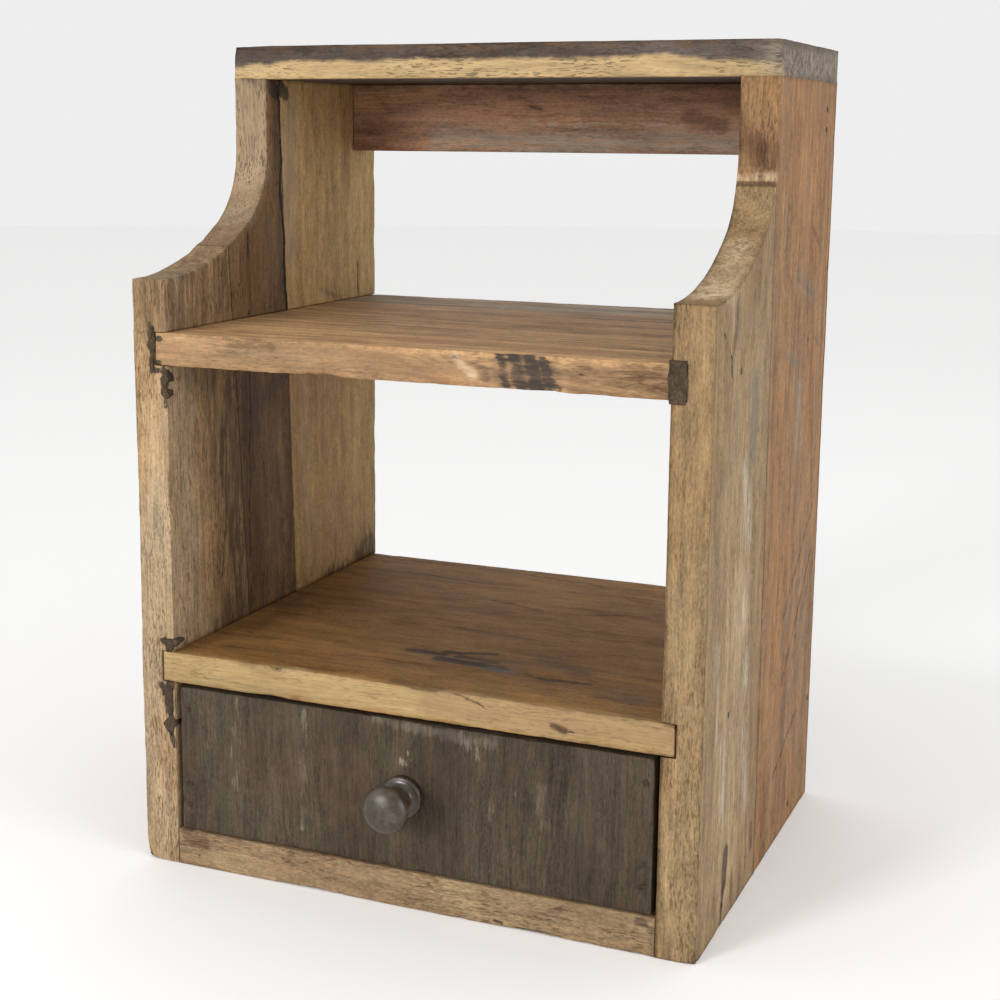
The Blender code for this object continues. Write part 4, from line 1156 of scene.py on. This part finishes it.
def seam_between(before, behind, meets_cove):
    """The plane of the joint between two planks, from their boxes in the frame."""
    foot = (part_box(before)[1].y, 0.0)
    if meets_cove:
        head = (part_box(behind)[0].y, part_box(before)[1].z)
    else:
        head = (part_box(behind)[0].y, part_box(behind)[1].z)
    line = Vector((0.0, head[0] - foot[0], head[1] - foot[1])).normalized()
    rearwards = Vector((0.0, line.z, -line.y))
    return Vector((0.0, *foot)), rearwards


# ---------------------------------------------------------------- operators


class PieceOperator:
    """What the operators share: the cabinet's settings."""

    bl_options = {"REGISTER"}

    @property
    def settings(self):
        """The cabinet's settings in the current scene."""
        return bpy.context.scene.cabinet_settings


class CABINET_OT_materials(PieceOperator, bpy.types.Operator):
    """Make the node groups that the materials share"""

    bl_idname = "cabinet.materials"
    bl_label = "Shared node groups"

    def execute(self, context):
        make_wood_group()
        make_mark_group()
        return {"FINISHED"}


class CABINET_OT_top(PieceOperator, bpy.types.Operator):
    """Make the top board"""

    bl_idname = "cabinet.top"
    bl_label = "Top board"

    def execute(self, context):
        make_board(self.settings, "top_board", "carcass", "top")
        return {"FINISHED"}


class CABINET_OT_rail(PieceOperator, bpy.types.Operator):
    """Make the back rail"""

    bl_idname = "cabinet.rail"
    bl_label = "Back rail"

    def execute(self, context):
        make_board(self.settings, "back_rail", "carcass", "rail")
        return {"FINISHED"}


class CABINET_OT_shelves(PieceOperator, bpy.types.Operator):
    """Make the two shelves and the bottom board"""

    bl_idname = "cabinet.shelves"
    bl_label = "Shelves and bottom board"

    def execute(self, context):
        make_board(self.settings, "upper_shelf", "carcass", "upper_shelf")
        make_board(self.settings, "lower_shelf", "carcass", "lower_shelf")
        make_board(self.settings, "bottom_board", "carcass", "bottom")
        return {"FINISHED"}


class CABINET_OT_left_side(PieceOperator, bpy.types.Operator):
    """Make the left side's three planks"""

    bl_idname = "cabinet.left_side"
    bl_label = "Left side"

    def execute(self, context):
        front, middle, rear = (f"left_side_{part}_plank" for part in ("front", "middle", "rear"))
        first, rearwards = seam_between(front, middle, True)
        second, behind = seam_between(middle, rear, False)
        gap = self.settings.sizes.seam_gap
        make_plank(self.settings, front, "left_front",
                   [(first, rearwards)])
        make_plank(self.settings, middle, "left_middle",
                   [(first + rearwards * gap, -rearwards), (second, behind)])
        make_plank(self.settings, rear, "left_rear",
                   [(second + behind * gap, -behind)])
        return {"FINISHED"}


class CABINET_OT_right_side(PieceOperator, bpy.types.Operator):
    """Make the right side's two planks"""

    bl_idname = "cabinet.right_side"
    bl_label = "Right side"

    def execute(self, context):
        front, rear = "right_side_front_plank", "right_side_rear_plank"
        place, rearwards = seam_between(front, rear, True)
        gap = self.settings.sizes.seam_gap
        make_plank(self.settings, front, "right_front", [(place, rearwards)])
        make_plank(self.settings, rear, "right_rear",
                   [(place + rearwards * gap, -rearwards)])
        return {"FINISHED"}


class CABINET_OT_drawer(PieceOperator, bpy.types.Operator):
    """Make the drawer's boards and the back of its bay"""

    bl_idname = "cabinet.drawer"
    bl_label = "Drawer and bay back"

    def execute(self, context):
        make_board(self.settings, "drawer_front", "drawer", "drawer",
                   FINE_MESH)
        for part in ("drawer_left_wall", "drawer_right_wall", "drawer_back", "drawer_panel"):
            make_board(self.settings, part, "drawer", "box", COARSE_MESH)
        make_board(self.settings, "drawer_bay_back", "carcass", "box",
                   COARSE_MESH)
        return {"FINISHED"}


def ragged_form(sizes, node):
    """A filler with lobes, drifts and bites in its outline and a crowned face."""
    low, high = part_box(node)
    middle = (low + high) / 2
    form = box_form(low, high)
    divide_box(form, low, high, sizes.filler_spacing)
    form.normal_update()
    points = np.array([vert.co for vert in form.verts])
    lobes = speckle(points, LOBE_RATE, 2.0 + low.z * 9)
    drifts = speckle(points, DRIFT_RATE, 7.0 + low.z * 9)
    bites = speckle(points, BITE_RATE, 2.0)
    reach = 0.12 if "plug" in node else 1.0
    for vert, lobe, drift, bite in zip(form.verts, lobes, drifts, bites):
        off = vert.co.x - middle.x
        up = vert.co.z - middle.z
        to_end = min(1.0, abs(up) / (high.z - low.z) * 2)
        to_edge = abs(off) / (high.x - low.x) * 2
        wide = 1 + reach * (1.5 * lobe - 0.15 - 0.5 * to_end ** 4)
        bitten = math.copysign(to_edge, off) * 1.1 * bite
        vert.co.x = middle.x + off * wide
        vert.co.x += reach * (2.0 * drift + bitten) * MM
        vert.co.z += math.copysign(reach, up) * 1.6 * bite * MM
        if vert.co.y < middle.y:
            vert.co.y -= sizes.filler_rise * (1 + 0.4 * bite) * (1.15 - 0.6 * to_edge)
    form.normal_update()
    return form


class CABINET_OT_fillers(PieceOperator, bpy.types.Operator):
    """Make the housing plug and the ragged fillers"""

    bl_idname = "cabinet.fillers"
    bl_label = "Plug and fillers"

    def execute(self, context):
        colours = self.settings.colours
        material = dark_filler("dark_gritty_filler", colours.filler, colours.filler_second)
        for node in ("housing_plug_upper_right", "housing_filler_upper_left",
                     "edge_filler_upper_left", "chip_filler_lower_left",
                     "edge_filler_lower_left"):
            form = ragged_form(self.settings.sizes, node)
            finish_form(form, "ragged_" + node, node, "carcass", material)
        return {"FINISHED"}


def arc(centre, radii, angles, roundness=1.0):
    """Points of an oval's arc, as (radius, distance from the face)."""
    turns = [math.radians(angle) for angle in angles]
    return [(centre[0] + radii[0] * math.copysign(abs(math.cos(turn)) ** roundness,
                                                  math.cos(turn)),
             centre[1] + radii[1] * math.sin(turn)) for turn in turns]


class CABINET_OT_knob(PieceOperator, bpy.types.Operator):
    """Make the turned knob"""

    bl_idname = "cabinet.knob"
    bl_label = "Knob"

    def execute(self, context):
        sizes, colours = self.settings.sizes, self.settings.colours
        low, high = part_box("drawer_knob")
        centre = (low + high) / 2
        face, head_radius, reach = high.y, (high.x - low.x) / 2, high.y - low.y
        foot, waist = sizes.knob_foot_radius, sizes.knob_waist_radius
        lip = sizes.knob_foot_depth / 3
        hollow = foot - lip - waist
        overhang = head_radius - waist
        under = sizes.knob_head_rim - sizes.knob_head_start
        dome = reach - sizes.knob_head_rim
        outline = [(0.0, 0.0), (foot, 0.0)]
        outline += arc((foot - lip, sizes.knob_foot_depth - lip), (lip, lip), (0, 30, 60, 90))
        outline += arc((foot - lip, sizes.knob_foot_depth + hollow), (hollow, -hollow),
                       (110, 135, 160, 180))
        outline += arc((waist, sizes.knob_head_rim), (overhang, -under), range(90, 0, -15))
        outline += arc((0.0, sizes.knob_head_rim), (head_radius, dome), range(0, 90, 9), 0.9)
        outline.append((0.0, reach))
        form = bmesh.new()
        line = [form.verts.new((centre.x + radius, face - out, centre.z))
                for radius, out in outline]
        edges = [form.edges.new(pair) for pair in zip(line, line[1:])]
        bmesh.ops.spin(form, geom=line + edges, cent=(centre.x, face, centre.z),
                       axis=(0, 1, 0), angle=math.tau, steps=sizes.knob_steps, use_merge=True)
        bmesh.ops.remove_doubles(form, verts=form.verts, dist=1e-6)
        finish_form(form, "turned_knob", "drawer_knob", "drawer",
                    knob_finish(colours.knob, colours.knob_worn))
        return {"FINISHED"}


class CABINET_OT_nails(PieceOperator, bpy.types.Operator):
    """Give the nails and the knob's screw their rusted steel"""

    bl_idname = "cabinet.nails"
    bl_label = "Nails and screw"

    def execute(self, context):
        colours = self.settings.colours
        material = nail_finish(colours.steel, colours.rust)
        for name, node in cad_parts.items():
            if "_nail_" in name or name == "knob_screw":
                node.data.materials.clear()
                node.data.materials.append(material)
        return {"FINISHED"}


def add_light(name, place, target, size_across, power):
    """A soft square light that faces a point."""
    data = bpy.data.lights.new(name, "AREA")
    data.size = size_across
    data.energy = power
    light = bpy.data.objects.new(name, data)
    light.location = place
    light.rotation_euler = (Vector(target) - Vector(place)).to_track_quat("-Z", "Y").to_euler()
    bpy.context.scene.collection.objects.link(light)


class CABINET_OT_stage(PieceOperator, bpy.types.Operator):
    """Make the floor, lights and camera"""

    bl_idname = "cabinet.stage"
    bl_label = "Stage"

    def execute(self, context):
        stage, colours = self.settings.stage, self.settings.colours
        form = bmesh.new()
        bmesh.ops.create_circle(form, cap_ends=True, segments=96, radius=stage.floor_radius)
        mesh = bpy.data.meshes.new("studio_floor")
        form.to_mesh(mesh)
        form.free()
        floor = bpy.data.objects.new("studio_floor", mesh)
        context.scene.collection.objects.link(floor)
        material, tree = new_material("pale_floor")
        shader = tree.nodes["Principled BSDF"]
        shader.inputs["Base Color"].default_value = (*colours.floor, 1.0)
        shader.inputs["Roughness"].default_value = 0.8
        mesh.materials.append(material)
        world = bpy.data.worlds.new("white_surroundings")
        world.use_nodes = True
        shine = world.node_tree.nodes["Background"]
        shine.inputs["Color"].default_value = (1.0, 1.0, 1.0, 1.0)
        shine.inputs["Strength"].default_value = stage.sky
        context.scene.world = world
        add_light("key_light", stage.key_place, LIT_POINT, stage.key_size, stage.key_power)
        add_light("fill_light", stage.fill_place, LIT_POINT, stage.fill_size, stage.fill_power)
        data = bpy.data.cameras.new("camera")
        data.lens = stage.lens
        data.sensor_width = SENSOR_WIDTH
        data.shift_x, data.shift_y = stage.shift
        camera = bpy.data.objects.new("camera", data)
        camera.location = stage.camera_place
        camera.rotation_euler = stage.camera_turn
        context.scene.collection.objects.link(camera)
        context.scene.camera = camera
        context.scene.view_settings.view_transform = "Standard"
        return {"FINISHED"}


class CABINET_PT_panel(bpy.types.Panel):
    """The cabinet's operators and settings."""

    bl_idname = "CABINET_PT_panel"
    bl_label = "Reclaimed wood cabinet"
    bl_space_type = "VIEW_3D"
    bl_region_type = "UI"
    bl_category = "Cabinet"

    def draw(self, context):
        layout = self.layout
        for operator in OPERATORS:
            layout.operator(operator.bl_idname)
        settings = context.scene.cabinet_settings
        for group in (settings.sizes, settings.colours, settings.stage):
            box = layout.box()
            for key in group.__annotations__:
                box.prop(group, key)


GROUPS = (CabinetSizes, CabinetColours, CabinetStage, CabinetSettings)
OPERATORS = (
    CABINET_OT_materials, CABINET_OT_top, CABINET_OT_rail, CABINET_OT_shelves,
    CABINET_OT_left_side, CABINET_OT_right_side, CABINET_OT_drawer, CABINET_OT_fillers,
    CABINET_OT_knob, CABINET_OT_nails, CABINET_OT_stage,
)
CLASSES = (*GROUPS, *OPERATORS, CABINET_PT_panel)


def register():
    """Register the classes and the scene's settings."""
    for item in CLASSES:
        bpy.utils.register_class(item)
    bpy.types.Scene.cabinet_settings = PointerProperty(type=CabinetSettings)


def unregister():
    """Remove the scene's settings and the classes."""
    del bpy.types.Scene.cabinet_settings
    for item in reversed(CLASSES):
        bpy.utils.unregister_class(item)


def main():
    """Make every piece and the stage."""
    register()
    for operator in OPERATORS:
        group, name = operator.bl_idname.split(".")
        getattr(getattr(bpy.ops, group), name)()


if __name__ == "__main__":
    main()
